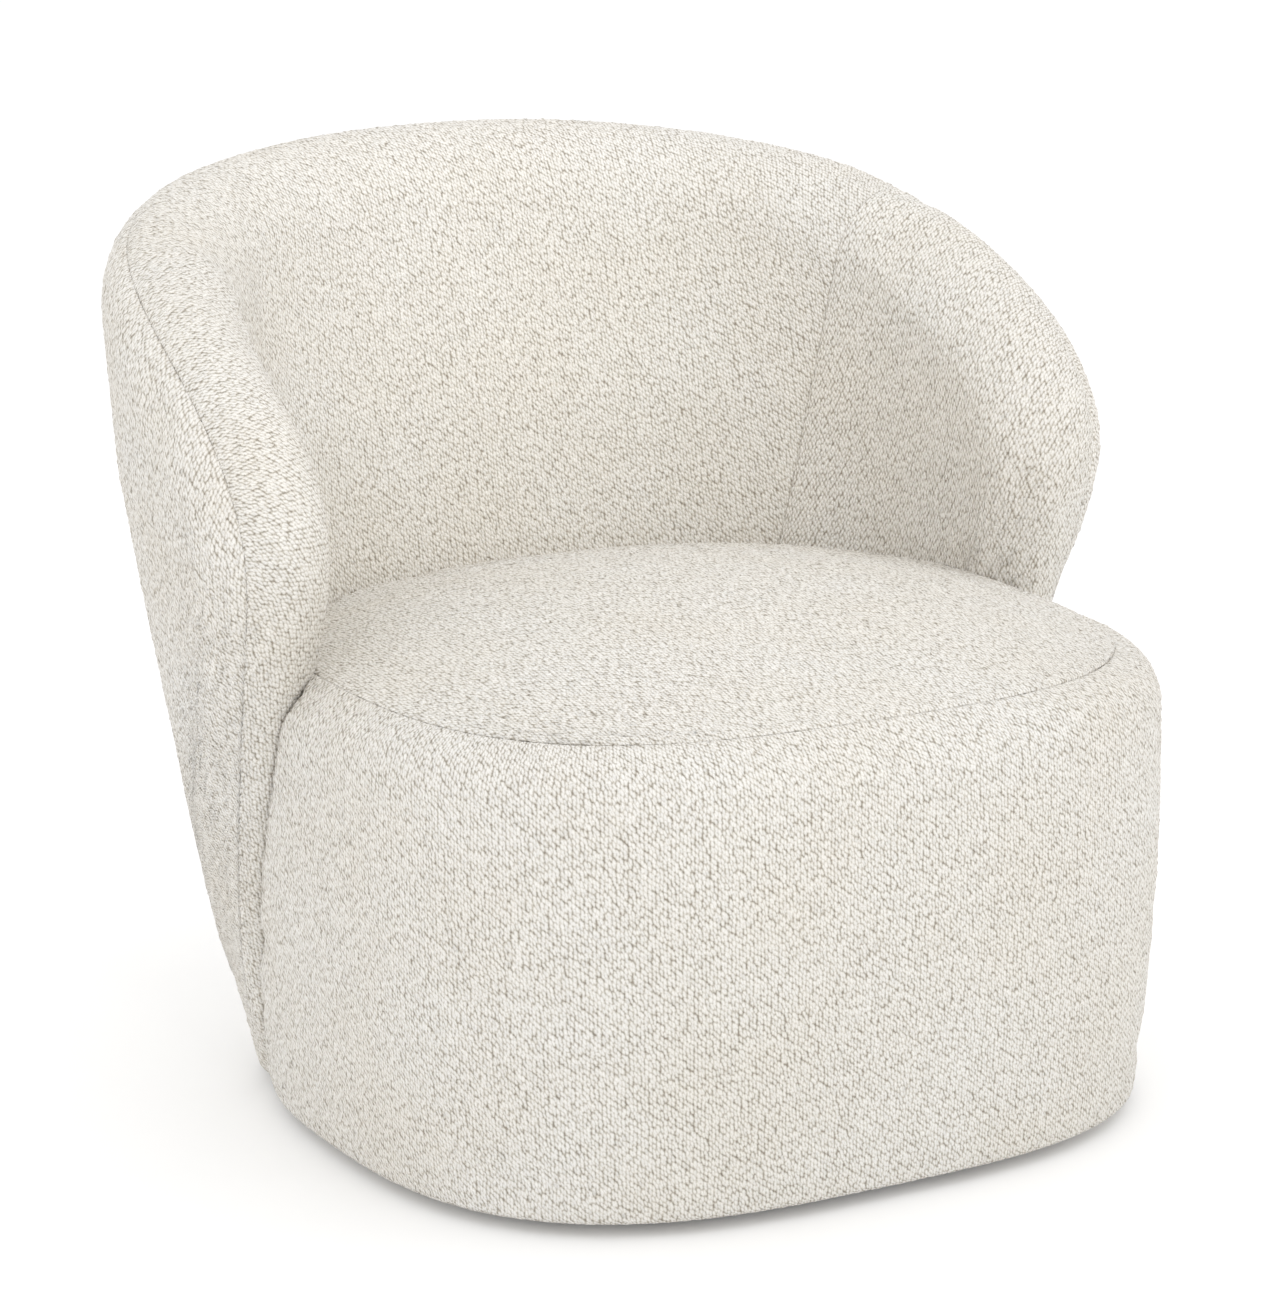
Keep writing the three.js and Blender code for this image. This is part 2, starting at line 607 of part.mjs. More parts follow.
function panelBand(angles) {
  const bend = (inset) => (angle, z) => {
    const spot = seatPlan(angle).multiplyScalar(SEAT_HEM_SCALE * (1 - inset / SEAT_HALF_WIDTH));
    return new THREE.Vector3(spot.x, SEAT_CENTRE_Y + spot.y, z);
  };
  const heights = [BOARD_TOP + GAP, DECK_Z - GAP];
  return slab(
    grid(angles, heights, bend(FRAME_INSET)),
    grid(angles, heights, bend(FRAME_INSET + PANEL_PLY)),
  );
}

// Zigzag spring wire laid from front to rear over the deck's opening.
function zigzagSpring(x) {
  const legs = 11;
  const from = OPENING_FRONT_Y - 14;
  const to = OPENING_REAR_Y + 14;
  const path = new THREE.CatmullRomCurve3(
    steps(legs).flatMap((share, i) => {
      const side = i % 2 === 0 ? -1 : 1;
      const y = mix(from, to, share);
      const z = SPRING_BOTTOM + SPRING_WIRE;
      return [new THREE.Vector3(x + side * 20, y, z), new THREE.Vector3(x + side * 26, y + 8, z)];
    }),
  );
  const wire = new THREE.Shape().absarc(0, 0, SPRING_WIRE, 0, Math.PI * 2);
  return new THREE.ExtrudeGeometry(wire, {
    steps: legs * 4,
    curveSegments: 2,
    extrudePath: path,
    bevelEnabled: false,
  });
}

function buildSeatFrame() {
  const boltHoles = SCREW_SPOTS.map((spot) =>
    toSolid(drum(3 + GAP, 0, BOARD_TOP * 2, 8).translate(spot.x, spot.y + SWIVEL_Y, 0)),
  );
  const bottom = trimToWall(seatPlate(FRAME_INSET, BOARD_BOTTOM, BOARD));
  addPiece(seatBox, 'bottom_board', drill(bottom, boltHoles), plywood());
  addPiece(seatBox, 'front_panel', panelBand(FRONT_ARC), plywood());
  addPiece(seatBox, 'side_panel_left', trimToWall(panelBand(LEFT_ARC)), plywood());
  addPiece(seatBox, 'side_panel_right', trimToWall(panelBand(RIGHT_ARC)), plywood());
  [-1, 1].forEach((hand) => {
    const post = block(POST, POST, DECK_Z - BOARD_TOP - 2 * GAP, BOARD_TOP + GAP);
    const name = hand > 0 ? 'rear_post_left' : 'rear_post_right';
    addPiece(seatBox, name, post, plywood()).position.set(hand * 170, OPENING_REAR_Y, 0);
  });
  const opening = block(
    2 * OPENING_HALF_WIDTH,
    OPENING_REAR_Y - OPENING_FRONT_Y,
    BOARD * 2,
    DECK_Z - BOARD / 2,
  ).translate(0, (OPENING_REAR_Y + OPENING_FRONT_Y) / 2, 0);
  const deck = cutAway(trimToWall(seatPlate(FRAME_INSET, DECK_Z, BOARD)), toSolid(opening));
  addPiece(seatBox, 'spring_deck', deck, plywood());
  steps(SPRING_COUNT - 1).forEach((share, i) => {
    const x = (share - 0.5) * SPRING_PITCH * (SPRING_COUNT - 1);
    addPiece(seatBox, `seat_spring_${i + 1}`, zigzagSpring(x), springSteel());
  });
}

function buildSeatUpholstery() {
  const pad = trimToWall(seatPlate(FRAME_INSET + 25, FELT_BOTTOM, FELT));
  addPiece(seatBox, 'spring_felt', pad, felt());

  const foamDepth = FABRIC + GAP;
  const domeClimbs = [1, 1.27, 1.54, SEAM_CLIMB, 2, 2.33, 2.67];
  const cushion = trimToWall(seatDome(foamDepth, FOAM_BOTTOM, domeClimbs));
  addPiece(seatBox, 'seat_foam', cushion, foam());

  const foamTop = (FOAM_BOTTOM - GAP - HEM) / (SEAT_SEAM_Z - SEAT_SHOULDER - HEM);
  const foamClimbs = [0, 0.33, 0.67, foamTop];
  const sideFoam = seatBand(foamDepth + 2 * GAP, FRAME_INSET - GAP, COVER_ARC, foamClimbs);
  addPiece(seatBox, 'seat_side_foam', trimToWall(sideFoam), foam());

  const sideClimbs = [0, 0.33, 0.67, 1, 1.27, 1.54, SEAM_CLIMB - SEAM_GROOVE];
  const sideCover = seatBand(0, FABRIC, COVER_ARC, sideClimbs);
  addPiece(seatBox, 'seat_side_cover', trimToWall(sideCover), boucle());

  const topClimbs = [SEAM_CLIMB, 2, 2.33, 2.67];
  const seamZ = seatPoint(0, 0, SEAM_CLIMB).z;
  const outside = seatDome(0, seamZ - FABRIC, topClimbs);
  const inside = toSolid(seatDome(FABRIC, seamZ - 3 * FABRIC, [1.54, ...topClimbs]));
  const tuck = toSolid(seatBand(0, FABRIC, REAR_ARC, [1, 1.27, 1.54, SEAM_CLIMB]));
  const top = toSolid(cutAway(outside, inside)).add(tuck);
  addPiece(seatBox, 'seat_top_cover', trimToWall(toGeometry(top)), boucle());

  const skirt = trimToWall(seatPlate(FRAME_INSET, BOARD_BOTTOM - GAP - 1, 1));
  const clearing = toSolid(drum(BEARING_PLATE * 0.75, 0, BOARD_TOP, 40).translate(0, SWIVEL_Y, 0));
  addPiece(seatBox, 'dust_cover', cutAway(skirt, clearing), blackCloth());
}

// ---- Back wall ----

// The room inside the wall for its frame, from one board's inner face to the other's.
function frameRoom() {
  const layer = { ...frameLayer(FRAME_HALF), inset: FRAME_MARGIN - 8 };
  const across = [...OUTSIDE_FIELD, -1];
  const outside = layerGrid(layer, WALL_SHARES, across);
  const inside = layerGrid(layer, WALL_SHARES, across.map((place) => -place));
  return toSolid(slab(outside, inside, splitRule(WALL_SHARES, across)));
}

const RAIL = 18; // height of each rail
const RAILS = [
  { name: 'hem_rail', z: 24 },
  { name: 'deck_rail', z: DECK_Z },
  { name: 'arm_rail', z: 462 },
  { name: 'top_rail', z: 636 },
];
const POST_ROWS = [
  { name: 'lower_post', places: [-220, 0, 220] },
  { name: 'middle_post', places: [-400, -140, 140, 400] },
  { name: 'upper_post', places: [-150, 150] },
];

function buildWallFrame() {
  const room = frameRoom();
  const cutFrom = (geometry) => toGeometry(toSolid(geometry).intersect(room));
  const everywhere = 4 * RIM_SHOULDER_REACH;
  RAILS.forEach(({ name, z }) => {
    addPiece(backWall, name, cutFrom(block(everywhere, everywhere, RAIL, z)), plywood());
  });
  POST_ROWS.forEach(({ name, places }, row) => {
    const from = RAILS[row].z + RAIL + GAP;
    const to = RAILS[row + 1].z - GAP;
    places.forEach((place, i) => {
      const spot = wallPoint(place, (from + to) / 2, 0);
      const facing = wallPoint(place, (from + to) / 2, 1).sub(spot);
      const post = block(POST, 6 * POST, to - from, from);
      post.rotateZ(Math.atan2(facing.y, facing.x) - Math.PI / 2);
      post.translate(spot.x, spot.y, 0);
      addPiece(backWall, `${name}_${i + 1}`, cutFrom(post), plywood());
    });
  });
  const near = frameLayer(FRAME_HALF + FRAME_PLAY);
  const far = frameLayer(FRAME_HALF + FRAME_PLAY + SKIN);
  const outside = [...OUTSIDE_FIELD, -1];
  const inside = [1, ...INSIDE_FIELD];
  addPiece(backWall, 'outer_board', wallSlab(far, near, WALL_SHARES, outside), fibreboard());
  addPiece(backWall, 'inner_board', wallSlab(far, near, WALL_SHARES, inside), fibreboard());
}

function buildWallUpholstery() {
  const surface = coverLayer(0);
  const lining = coverLayer(FABRIC);
  const padding = coverLayer(FABRIC + GAP);
  const core = frameLayer(FRAME_HALF + FRAME_PLAY + SKIN + GAP);
  const foamSlab = (along, across) => wallSlab(padding, core, along, across);
  const rimRound = [-2 + SEAM_SLIT, ...OUTSIDE_ROUND, ...INSIDE_ROUND, 2 - SEAM_SLIT];
  addPiece(backWall, 'inner_back_foam', foamSlab(WALL_SHARES, INSIDE_FIELD), foam());
  STRETCHES.forEach(({ side, along }) => {
    addPiece(backWall, `outer_foam_${side}`, foamSlab(along, OUTSIDE_FIELD), foam());
    addPiece(backWall, `rim_foam_${side}`, foamSlab(along, rimRound), foam());
  });

  const coverSlab = (along, across) => wallSlab(surface, lining, along, across);
  const outside = [...OUTSIDE_FIELD, ...OUTSIDE_ROUND];
  addPiece(backWall, 'outer_back_cover', coverSlab(WALL_SHARES, outside), boucle());
  const inside = [OUTER_SEAM + SEAM_SLIT, ...INSIDE_ROUND, ...INSIDE_FIELD];
  STRETCHES.forEach(({ side, along }) => {
    const name = side === 'back' ? 'inner_back_cover' : `inner_wing_cover_${side}`;
    addPiece(backWall, name, coverSlab(along, inside), boucle());
  });
}

buildBase();
buildSwivelTop();
buildSeatFrame();
buildSeatUpholstery();
buildWallFrame();
buildWallUpholstery();

export default chair;
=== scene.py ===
"""Swivel tub armchair in cream boucle: upholstery, materials, light and camera round the CAD frame."""
import json

import bpy
import numpy as np
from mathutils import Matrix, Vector


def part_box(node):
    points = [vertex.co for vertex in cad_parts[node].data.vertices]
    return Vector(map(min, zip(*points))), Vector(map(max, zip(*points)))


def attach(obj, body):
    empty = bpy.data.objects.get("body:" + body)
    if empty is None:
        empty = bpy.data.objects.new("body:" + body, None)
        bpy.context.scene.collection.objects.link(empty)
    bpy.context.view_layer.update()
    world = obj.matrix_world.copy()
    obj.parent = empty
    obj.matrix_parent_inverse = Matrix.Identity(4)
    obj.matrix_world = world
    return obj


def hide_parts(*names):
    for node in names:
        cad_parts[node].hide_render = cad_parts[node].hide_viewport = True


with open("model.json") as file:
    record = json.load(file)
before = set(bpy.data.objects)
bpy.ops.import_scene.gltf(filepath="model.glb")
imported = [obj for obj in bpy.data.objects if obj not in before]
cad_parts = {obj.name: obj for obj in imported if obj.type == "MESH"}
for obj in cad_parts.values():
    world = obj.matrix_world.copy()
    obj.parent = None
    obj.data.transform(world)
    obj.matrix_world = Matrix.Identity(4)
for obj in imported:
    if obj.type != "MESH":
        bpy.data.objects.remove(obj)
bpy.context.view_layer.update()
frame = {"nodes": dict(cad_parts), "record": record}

# ---- The chair's dimensions, in millimetres, as the CAD has them ----

HEM = 14                       # floor to the bottom edge of the CAD's upholstery
SEAT_HALF_WIDTH = 343
SEAT_FRONT_REACH = 329
SEAT_REAR_REACH = 314
SEAT_CENTRE_Y = -72
SEAT_FRONT_SQUARENESS = 3
SEAT_REAR_SQUARENESS = 2.2
SEAT_SEAM_Z = 375
SEAT_CROWN = 39
SEAT_SHOULDER = 47
SEAT_HEM_SCALE = 0.97
SEAT_BULGE = 5
SEAM_CLIMB = 1.8
WALL_HALF_WIDTH = 318
WALL_SIDE_FLARE = 0.104
WALL_SIDE_BARREL = 6.26e-05
WALL_REAR_DEPTH = 239
WALL_REAR_FLARE = 0.238
WALL_ARM_DEPTH = 437
WALL_CENTRE_Y = -52
WALL_REAR_SQUARENESS = 2.7
WALL_ARM_SQUARENESS = 2
WALL_THICKNESS = 108
WALL_HEM_THICKNESS = 33
RIM_TOP_Z = 729
RIM_SHOULDER_Z = 498
RIM_SHOULDER_REACH = 629
RIM_HEM_REACH = 350
RIM_SOFTNESS = 0.12
RIM_RADIUS = 59
FIELD_DEPTH = 75
OUTER_SEAM = -0.4
PANEL_SEAM = 0.335
FAN_FOOT = 250

# ---- How the upholstery is drawn, in millimetres ----

GRID = 3.1                     # spacing of the fine meshes
SIM_GRID = 13                  # spacing of the sheets in the cloth simulation
SIM_FRAMES = 18
SIM_PRESSURE = 3.0
SWELL_BLUR = 3                 # smoothing passes over what the simulation gives
SWELL = 2.4                    # most that a sheet may move in the simulation
START_DEPTH = 0.6              # how deep under the CAD's surface the sheets start
SEAM_ROLL = 0.8                # how deep a panel's edge rolls into a seam
SEAM_WIDTH = 1.3
SEAM_ROWS = (0, 0.9, 2.0, 3.6)  # distances of the first rows of a mesh from a seam
CLOTH_HEM = 11                 # floor to the cloth's lower edge
HEM_ROUND = 4                  # radius of that edge
FOOT = CLOTH_HEM + HEM_ROUND
FOLD_ROWS = 8                  # rows of the cloth turned in under the hem
BACKING = 2.2                  # thickness of a panel
BACK_STEP = 4                  # steps of its front to one on its back; FOLD_ROWS is a multiple
LOOP_HEIGHT = 0.42             # spread of the loops that the mesh itself carries
LOWEST_LOOP = 0.2              # share of that where rows crowd together
WALL_CLEARANCE = 2.2           # left between the seat's cloth and the wall
MIDDLE_GAP = 0.5               # half of the slit between the two hems under the wall
TIP_ROOM = 14                  # how far short of the rim the underside's middle line stops
HEM_FOLD = 24                  # width of the seat's cloth turned in under the hem
SEAT_SIDE_ENDS = (26, -206)    # degrees round the seat at which its side panel starts and ends
SEAT_SIDE_LENGTH = 1640
SEAT_TOP_SIZE = 620
SEAT_DOME = 296                # from the seat's middle to where its shoulder starts
SEAM_DROP = 0.7                # how far the seat's seam sinks behind the arms, in climb
DROP_START = 0.12              # sine of the angle round the seat at which it starts to sink
DROP_SPAN = 0.4                # and how much the sine grows until it is down
LEVEL_STEP = 5.0               # between the heights at which the wall's plan is worked out
WALK_STEP = 2.0                # between the points of such a plan
PLAN_LIMIT = 800               # no height and no distance along the wall is greater
TANGENT_STEP = 6               # to either side of a place, for the wall's direction there
RIM_STEP = 0.004               # the same on the rim, as a share of its length
BLOCK = 4000                   # points moved clear of the wall at a time, to save memory

# Places across the wall, as wall_surface counts them, and how far apart they are on the cloth.
INNER_PLACES = (OUTER_SEAM, 1, 2, 3)
INNER_DISTANCES = (0, 122, 138, 740)
OUTER_PLACES = (-3, -2, -1, OUTER_SEAM)
OUTER_DISTANCES = (0, 602, 618, 668)

# ---- The dust cloth under the seat, in millimetres ----

DUST_CLOTH_RINGS = 24
DUST_CLOTH_SPOKES = 180
DUST_CLOTH_THICKNESS = 0.6
DUST_CLOTH_HOLE = 136          # radius of its hole round the swivel
DUST_CLOTH_HOLE_OFFSET = 12    # from the pivot's front edge to the swivel's axis
DUST_CLOTH_SAG = 2.5
DUST_CLOTH_RIPPLES = 9
DUST_CLOTH_RIPPLE = 0.3        # as a share of the sag
DUST_CLOTH_INSET = 20          # from the seat's outline to the cloth's edge

# ---- The cloth's stitches, in metres ----

STITCH_WIDTH = 0.0028          # from one column to the next
STITCH_HEIGHT = 0.0042         # from one stitch to the next in its column
STITCH_RANDOMNESS = 0.5
STITCH_WANDER = 0.0012
WANDER_SCALE = 300             # waves in a metre

# ---- The cloth's relief, from 0 in a deep gap to about 1 on a loop, and its colours: cream yarn on the loops, painted shade in the gaps ----

LOOP_TOP = 1.24
LOOP_STEEPNESS = 1.3
CRIMP_SCALE = 620              # crimps of the yarn in a metre
CRIMP_DEPTH = 0.35
LOOP_SPREAD = 0.24             # between the highest loop and the lowest
RELIEF = 0.0014                # depth of the relief, in metres
# Colours from a deep gap to a loop's top: painted shade, darker and warmer, down in the gaps, and the
# yarn's own cream on the loops.
YARN_AND_GAP_SHADE_COLOURS = [
    (0.05, (0.355, 0.315, 0.26)),
    (0.30, (0.63, 0.59, 0.525)),
    (0.52, (0.825, 0.795, 0.74)),
    (0.80, (0.955, 0.935, 0.90)),
]
PATCH_SCALE = 9
PATCH_COLOURS = [(0.3, (0.98, 0.965, 0.94)), (0.7, (1, 1, 1))]

# ---- Floor, lights and camera, in metres, watts, millimetres and degrees ----

FLOOR_REACH = 30
FLOOR_GLOW = 0.1
ROOM_BRIGHTNESS = 1.0
LIGHT_SIZE = 3.0
LIGHT_TARGET = (0, 0, 0.35)
SOFT_LIGHTS = {                # where each stands, and its power
    "top_light": ((0.3, 0.9, 4.2), 5),
    "front_light": ((-0.4, -2.4, 4.0), 10),
    "left_light": ((-2.6, -1.2, 3.6), 6),
    "right_light": ((2.6, -1.2, 3.6), 14),
}
BEAM_PLACE = (-0.4, -2.6, 1.5)
BEAM_TARGET = (0, 0.2, 0.58)
BEAM_ANGLE = 20
BEAM_POWER = 95
SENSOR_WIDTH = 36
LENS = 122.2
LENS_SHIFT = (-0.0259, 0.0111)
CAMERA_AZIMUTH = -29.707
CAMERA_ELEVATION = 14.624
CAMERA_DISTANCE = 3.4746
CAMERA_TARGET = (0, -0.058, 0.342)

MM = 0.001
scene = bpy.context.scene


def mix(start, end, share):
    return start + (end - start) * share


def squared(value, squareness):
    return np.sign(value) * np.abs(value) ** (2 / squareness)


# ---- Wall surface ----

LEVELS = np.arange(0, PLAN_LIMIT, LEVEL_STEP)
WALKS = np.arange(0, PLAN_LIMIT, WALK_STEP)


def plan_at(z):
    """Half of the wall's plan at height z, from the rear centre to the front, walked in even steps."""
    turn = np.linspace(0, np.pi, 900)
    at_rear = np.cos(turn) > 0
    squareness = np.where(at_rear, WALL_REAR_SQUARENESS, WALL_ARM_SQUARENESS)
    depth = np.where(at_rear, WALL_REAR_DEPTH + WALL_REAR_FLARE * z, WALL_ARM_DEPTH)
    half_width = WALL_HALF_WIDTH + WALL_SIDE_FLARE * z - WALL_SIDE_BARREL * z * z
    x = half_width * squared(np.sin(turn), squareness)
    y = WALL_CENTRE_Y + depth * squared(np.cos(turn), squareness)
    walked = np.concatenate([[0], np.cumsum(np.hypot(np.diff(x), np.diff(y)))])
    return np.stack([np.interp(WALKS, walked, x), np.interp(WALKS, walked, y)], -1)


PLAN = np.array([plan_at(z) for z in LEVELS])


def on_plan(along, z):
    """Points of the wall's middle surface, seen from above."""
    row = np.clip(z / LEVEL_STEP, 0, len(LEVELS) - 1.001)
    column = np.clip(np.abs(along) / WALK_STEP, 0, len(WALKS) - 1.001)
    i, j = row.astype(int), column.astype(int)
    u, v = (row - i)[..., None], (column - j)[..., None]
    spot = mix(mix(PLAN[i, j], PLAN[i, j + 1], v), mix(PLAN[i + 1, j], PLAN[i + 1, j + 1], v), u)
    return spot * np.stack([np.sign(along), np.ones_like(along)], -1)


def wall_point(along, z, outward):
    """Points `outward` from the wall's middle surface."""
    here = on_plan(along, z)
    tangent = on_plan(along + TANGENT_STEP, z) - on_plan(along - TANGENT_STEP, z)
    tangent /= np.linalg.norm(tangent, axis=-1, keepdims=True)
    x = here[..., 0] - tangent[..., 1] * outward
    y = here[..., 1] + tangent[..., 0] * outward
    return np.stack([x, y, z], -1)


def rim_reach(z):
    """Distance along the wall at which the arms' front edges stand, below the shoulder."""
    drop = (RIM_SHOULDER_Z - z) / (RIM_SHOULDER_Z - HEM)
    fall = np.hypot(drop, RIM_SOFTNESS) - RIM_SOFTNESS
    return mix(RIM_SHOULDER_REACH, RIM_HEM_REACH, fall / (np.hypot(1, RIM_SOFTNESS) - RIM_SOFTNESS))


def rim_outline():
    """The rim, unrolled: distance along the wall and height, from the arm at -X to the other."""
    heights = np.linspace(FOOT, RIM_SHOULDER_Z, 240)
    turn = np.linspace(0, np.pi / 2, 320)[1:]
    edge = np.stack([rim_reach(heights), heights], -1)
    arch_heights = mix(RIM_SHOULDER_Z, RIM_TOP_Z, np.sin(turn))
    arch = np.stack([RIM_SHOULDER_REACH * np.cos(turn), arch_heights], -1)
    half = np.concatenate([edge, arch])
    return np.concatenate([half[:-1] * (-1, 1), half[::-1]])


RIM = rim_outline()
RIM_WALK = np.concatenate([[0], np.cumsum(np.linalg.norm(np.diff(RIM, axis=0), axis=1))])
RIM_LENGTH = RIM_WALK[-1]


def on_rim(share):
    walked = np.clip(share, 0, 1) * RIM_LENGTH
    return np.stack([np.interp(walked, RIM_WALK, RIM[:, 0]), np.interp(walked, RIM_WALK, RIM[:, 1])], -1)


def half_thickness(z):
    return mix(WALL_HEM_THICKNESS, WALL_THICKNESS, np.minimum(z / RIM_SHOULDER_Z, 1)) / 2


def wall_surface(share, across, depth):
    """Wall upholstery: across is -3 at the outer hem, 0 on the rim and 3 at the inner hem."""
    rim = on_rim(share)
    tangent = on_rim(share + RIM_STEP) - on_rim(share - RIM_STEP)
    tangent /= np.linalg.norm(tangent, axis=-1, keepdims=True)
    foot = np.stack([-FAN_FOOT * np.cos(share * np.pi), np.full_like(share, FOOT)], -1)
    inward = foot - rim
    inward /= np.linalg.norm(inward, axis=-1, keepdims=True)
    slant = inward[..., 0] * tangent[..., 1] - inward[..., 1] * tangent[..., 0]
    turn = np.minimum(np.abs(across), 1) * np.pi / 2
    band = np.clip(np.abs(across) - 1, 0, 1)
    field = np.maximum(np.abs(across) - 2, 0)[..., None]
    rounded = depth + (RIM_RADIUS - depth) * (1 - np.cos(turn))
    reach = mix(rounded, FIELD_DEPTH, band)
    spot = mix(rim + inward * (reach / slant)[..., None], foot, field)
    along, z = spot[..., 0], spot[..., 1]
    return wall_point(along, z, -np.sign(across) * (half_thickness(z) - depth) * np.sin(turn))


# ---- Seat surface ----

def seat_plan(angle):
    """The seat's outline round its own middle, at full width."""
    in_front = np.sin(angle) < 0
    squareness = np.where(in_front, SEAT_FRONT_SQUARENESS, SEAT_REAR_SQUARENESS)
    reach = np.where(in_front, SEAT_FRONT_REACH, SEAT_REAR_REACH)
    x = SEAT_HALF_WIDTH * squared(np.cos(angle), squareness)
    y = reach * squared(np.sin(angle), squareness)
    return x, y


def seat_surface(angle, climb, depth):
    """Seat upholstery: climb is 0 at the hem, 1 and 2 below and above the shoulder, 3 in the middle."""
    lift = np.minimum(climb, 1)
    turn = np.clip(climb - 1, 0, 1) * np.pi / 2
    centring = np.maximum(climb - 2, 0)
    radius = SEAT_SHOULDER - depth
    shoulder_foot = SEAT_SEAM_Z - SEAT_SHOULDER
    inset = depth + radius * (1 - np.cos(turn)) - SEAT_BULGE * np.sin(lift * np.pi)
    scale = mix(SEAT_HEM_SCALE, 1, lift) * (1 - inset / SEAT_HALF_WIDTH) * (1 - centring)
    x, y = seat_plan(angle)
    crown = SEAT_CROWN * (1 - (1 - centring) ** 2)
    z = np.where(climb < 1, mix(HEM, shoulder_foot, lift), shoulder_foot + radius * np.sin(turn))
    return np.stack([x * scale, SEAT_CENTRE_Y + y * scale, z + crown], -1)


def even_angles(start, end, shares):
    """Angles between two others that cut the seat's outline at even lengths."""
    dense = np.linspace(start, end, 6000)
    x, y = seat_plan(dense)
    walked = np.concatenate([[0], np.cumsum(np.hypot(np.diff(x), np.diff(y)))])
    return np.interp(shares * walked[-1], walked, dense)


def seam_height(angle):
    """Climb of the seat's seam: level all round, but sinking out of sight behind the arms."""
    hidden = np.clip((np.sin(angle) - DROP_START) / DROP_SPAN, 0, 1)
    return SEAM_CLIMB - SEAM_DROP * hidden * hidden * (3 - 2 * hidden)


def clear_of_wall(points):
    """Seat points moved in front of the wall's inner face wherever the wall stands."""
    flat = points.reshape(-1, 3).copy()
    rim = RIM[::4]
    for first in range(0, len(flat), BLOCK):
        part = flat[first:first + BLOCK]
        x, y, z = part.T
        level = np.clip(np.round(z / LEVEL_STEP).astype(int), 0, len(LEVELS) - 1)
        plans = PLAN[level]
        gaps = np.hypot(plans[..., 0] - np.abs(x)[:, None], plans[..., 1] - y[:, None])
        along = WALKS[np.argmin(gaps, axis=1)]
        to_rim = np.hypot(rim[:, 0] - along[:, None], rim[:, 1] - z[:, None]).min(axis=1)
        under_rim = (along < rim_reach(z)) & (z < RIM_SHOULDER_Z)
        rounding = np.sqrt(1 - (1 - np.clip(to_rim / RIM_RADIUS, 0, 1)) ** 2)
        face = -half_thickness(z) * rounding - WALL_CLEARANCE
        signed = along * np.where(x < 0, -1, 1)
        middle = wall_point(signed, z, np.zeros_like(z))
        normal = wall_point(signed, z, np.ones_like(z)) - middle
        outward = ((part - middle) * normal).sum(axis=1)
        push = np.where(under_rim, np.minimum(face - outward, 0), 0)
        flat[first:first + BLOCK] = part + normal * push[:, None]
    return flat.reshape(points.shape)


# ---- Grids and meshes ----

def stations(length, spacing, seam_start, seam_end):
    """Distances along a length, close together at sewn ends; their number suits BACK_STEP."""
    close = np.array(SEAM_ROWS)
    start = close if seam_start else close[:1]
    end = length - (close if seam_end else close[:1])[::-1]
    steps = int(np.ceil((end[0] - start[-1]) / spacing))
    steps += -(len(start) + len(end) + steps - 2) % BACK_STEP
    middle = np.linspace(start[-1], end[0], steps + 1)[1:-1]
    return np.concatenate([start, middle, end])


def roll(distances, length, seam_start, seam_end):
    """How deep the cloth rolls in towards the sewn ends of a length."""
    depth = np.zeros_like(distances)
    if seam_start:
        depth += np.exp(-(distances / SEAM_WIDTH) ** 2)
    if seam_end:
        depth += np.exp(-((length - distances) / SEAM_WIDTH) ** 2)
    return SEAM_ROLL * depth


def grid_normals(points):
    down = np.gradient(points, axis=0)
    right = np.gradient(points, axis=1)
    normals = np.cross(down, right)
    return normals / np.maximum(np.linalg.norm(normals, axis=-1, keepdims=True), 1e-9)


def grid_faces(rows, columns, offset=0, flipped=False):
    index = offset + np.arange(rows * columns).reshape(rows, columns)
    quads = np.stack([index[:-1, :-1], index[1:, :-1], index[1:, 1:], index[:-1, 1:]], -1).reshape(-1, 4)
    return (quads[:, ::-1] if flipped else quads).tolist()


def border(index):
    """Indices round the edge of a grid, as one closed loop."""
    return np.concatenate([index[0, :-1], index[:-1, -1], index[-1, :0:-1], index[:0:-1, 0]])


def mesh_object(name, points, faces):
    """Smooth-shaded object from points in millimetres."""
    mesh = bpy.data.meshes.new(name)
    mesh.from_pydata((points * MM).tolist(), [], faces)
    mesh.polygons.foreach_set("use_smooth", [True] * len(mesh.polygons))
    mesh.update()
    piece = bpy.data.objects.new(name, mesh)
    scene.collection.objects.link(piece)
    return piece


def panel_object(name, front, weave):
    """Closed panel: a fine grid in front and a coarser one behind it."""
    rows, columns, _ = front.shape
    back = (front - BACKING * grid_normals(front))[::BACK_STEP, ::BACK_STEP]
    fine = np.arange(rows * columns).reshape(rows, columns)
    coarse = rows * columns + np.arange(back.shape[0] * back.shape[1]).reshape(back.shape[:2])
    faces = grid_faces(rows, columns)
    faces += grid_faces(back.shape[0], back.shape[1], rows * columns, flipped=True)
    outer, inner = border(fine), border(coarse)
    for k, corner in enumerate(inner):
        stretch = [outer[(BACK_STEP * k + step) % len(outer)] for step in range(BACK_STEP + 1)]
        faces.append([int(i) for i in [*stretch, inner[(k + 1) % len(inner)], corner]])
    piece = mesh_object(name, np.concatenate([front.reshape(-1, 3), back.reshape(-1, 3)]), faces)
    back_weave = weave[::BACK_STEP, ::BACK_STEP]
    places = np.concatenate([weave.reshape(-1, 2), back_weave.reshape(-1, 2)]) * MM
    places = np.pad(places, ((0, 0), (0, 1)))
    attribute = piece.data.attributes.new("weave", "FLOAT_VECTOR", "POINT")
    attribute.data.foreach_set("vector", places.ravel())
    return piece


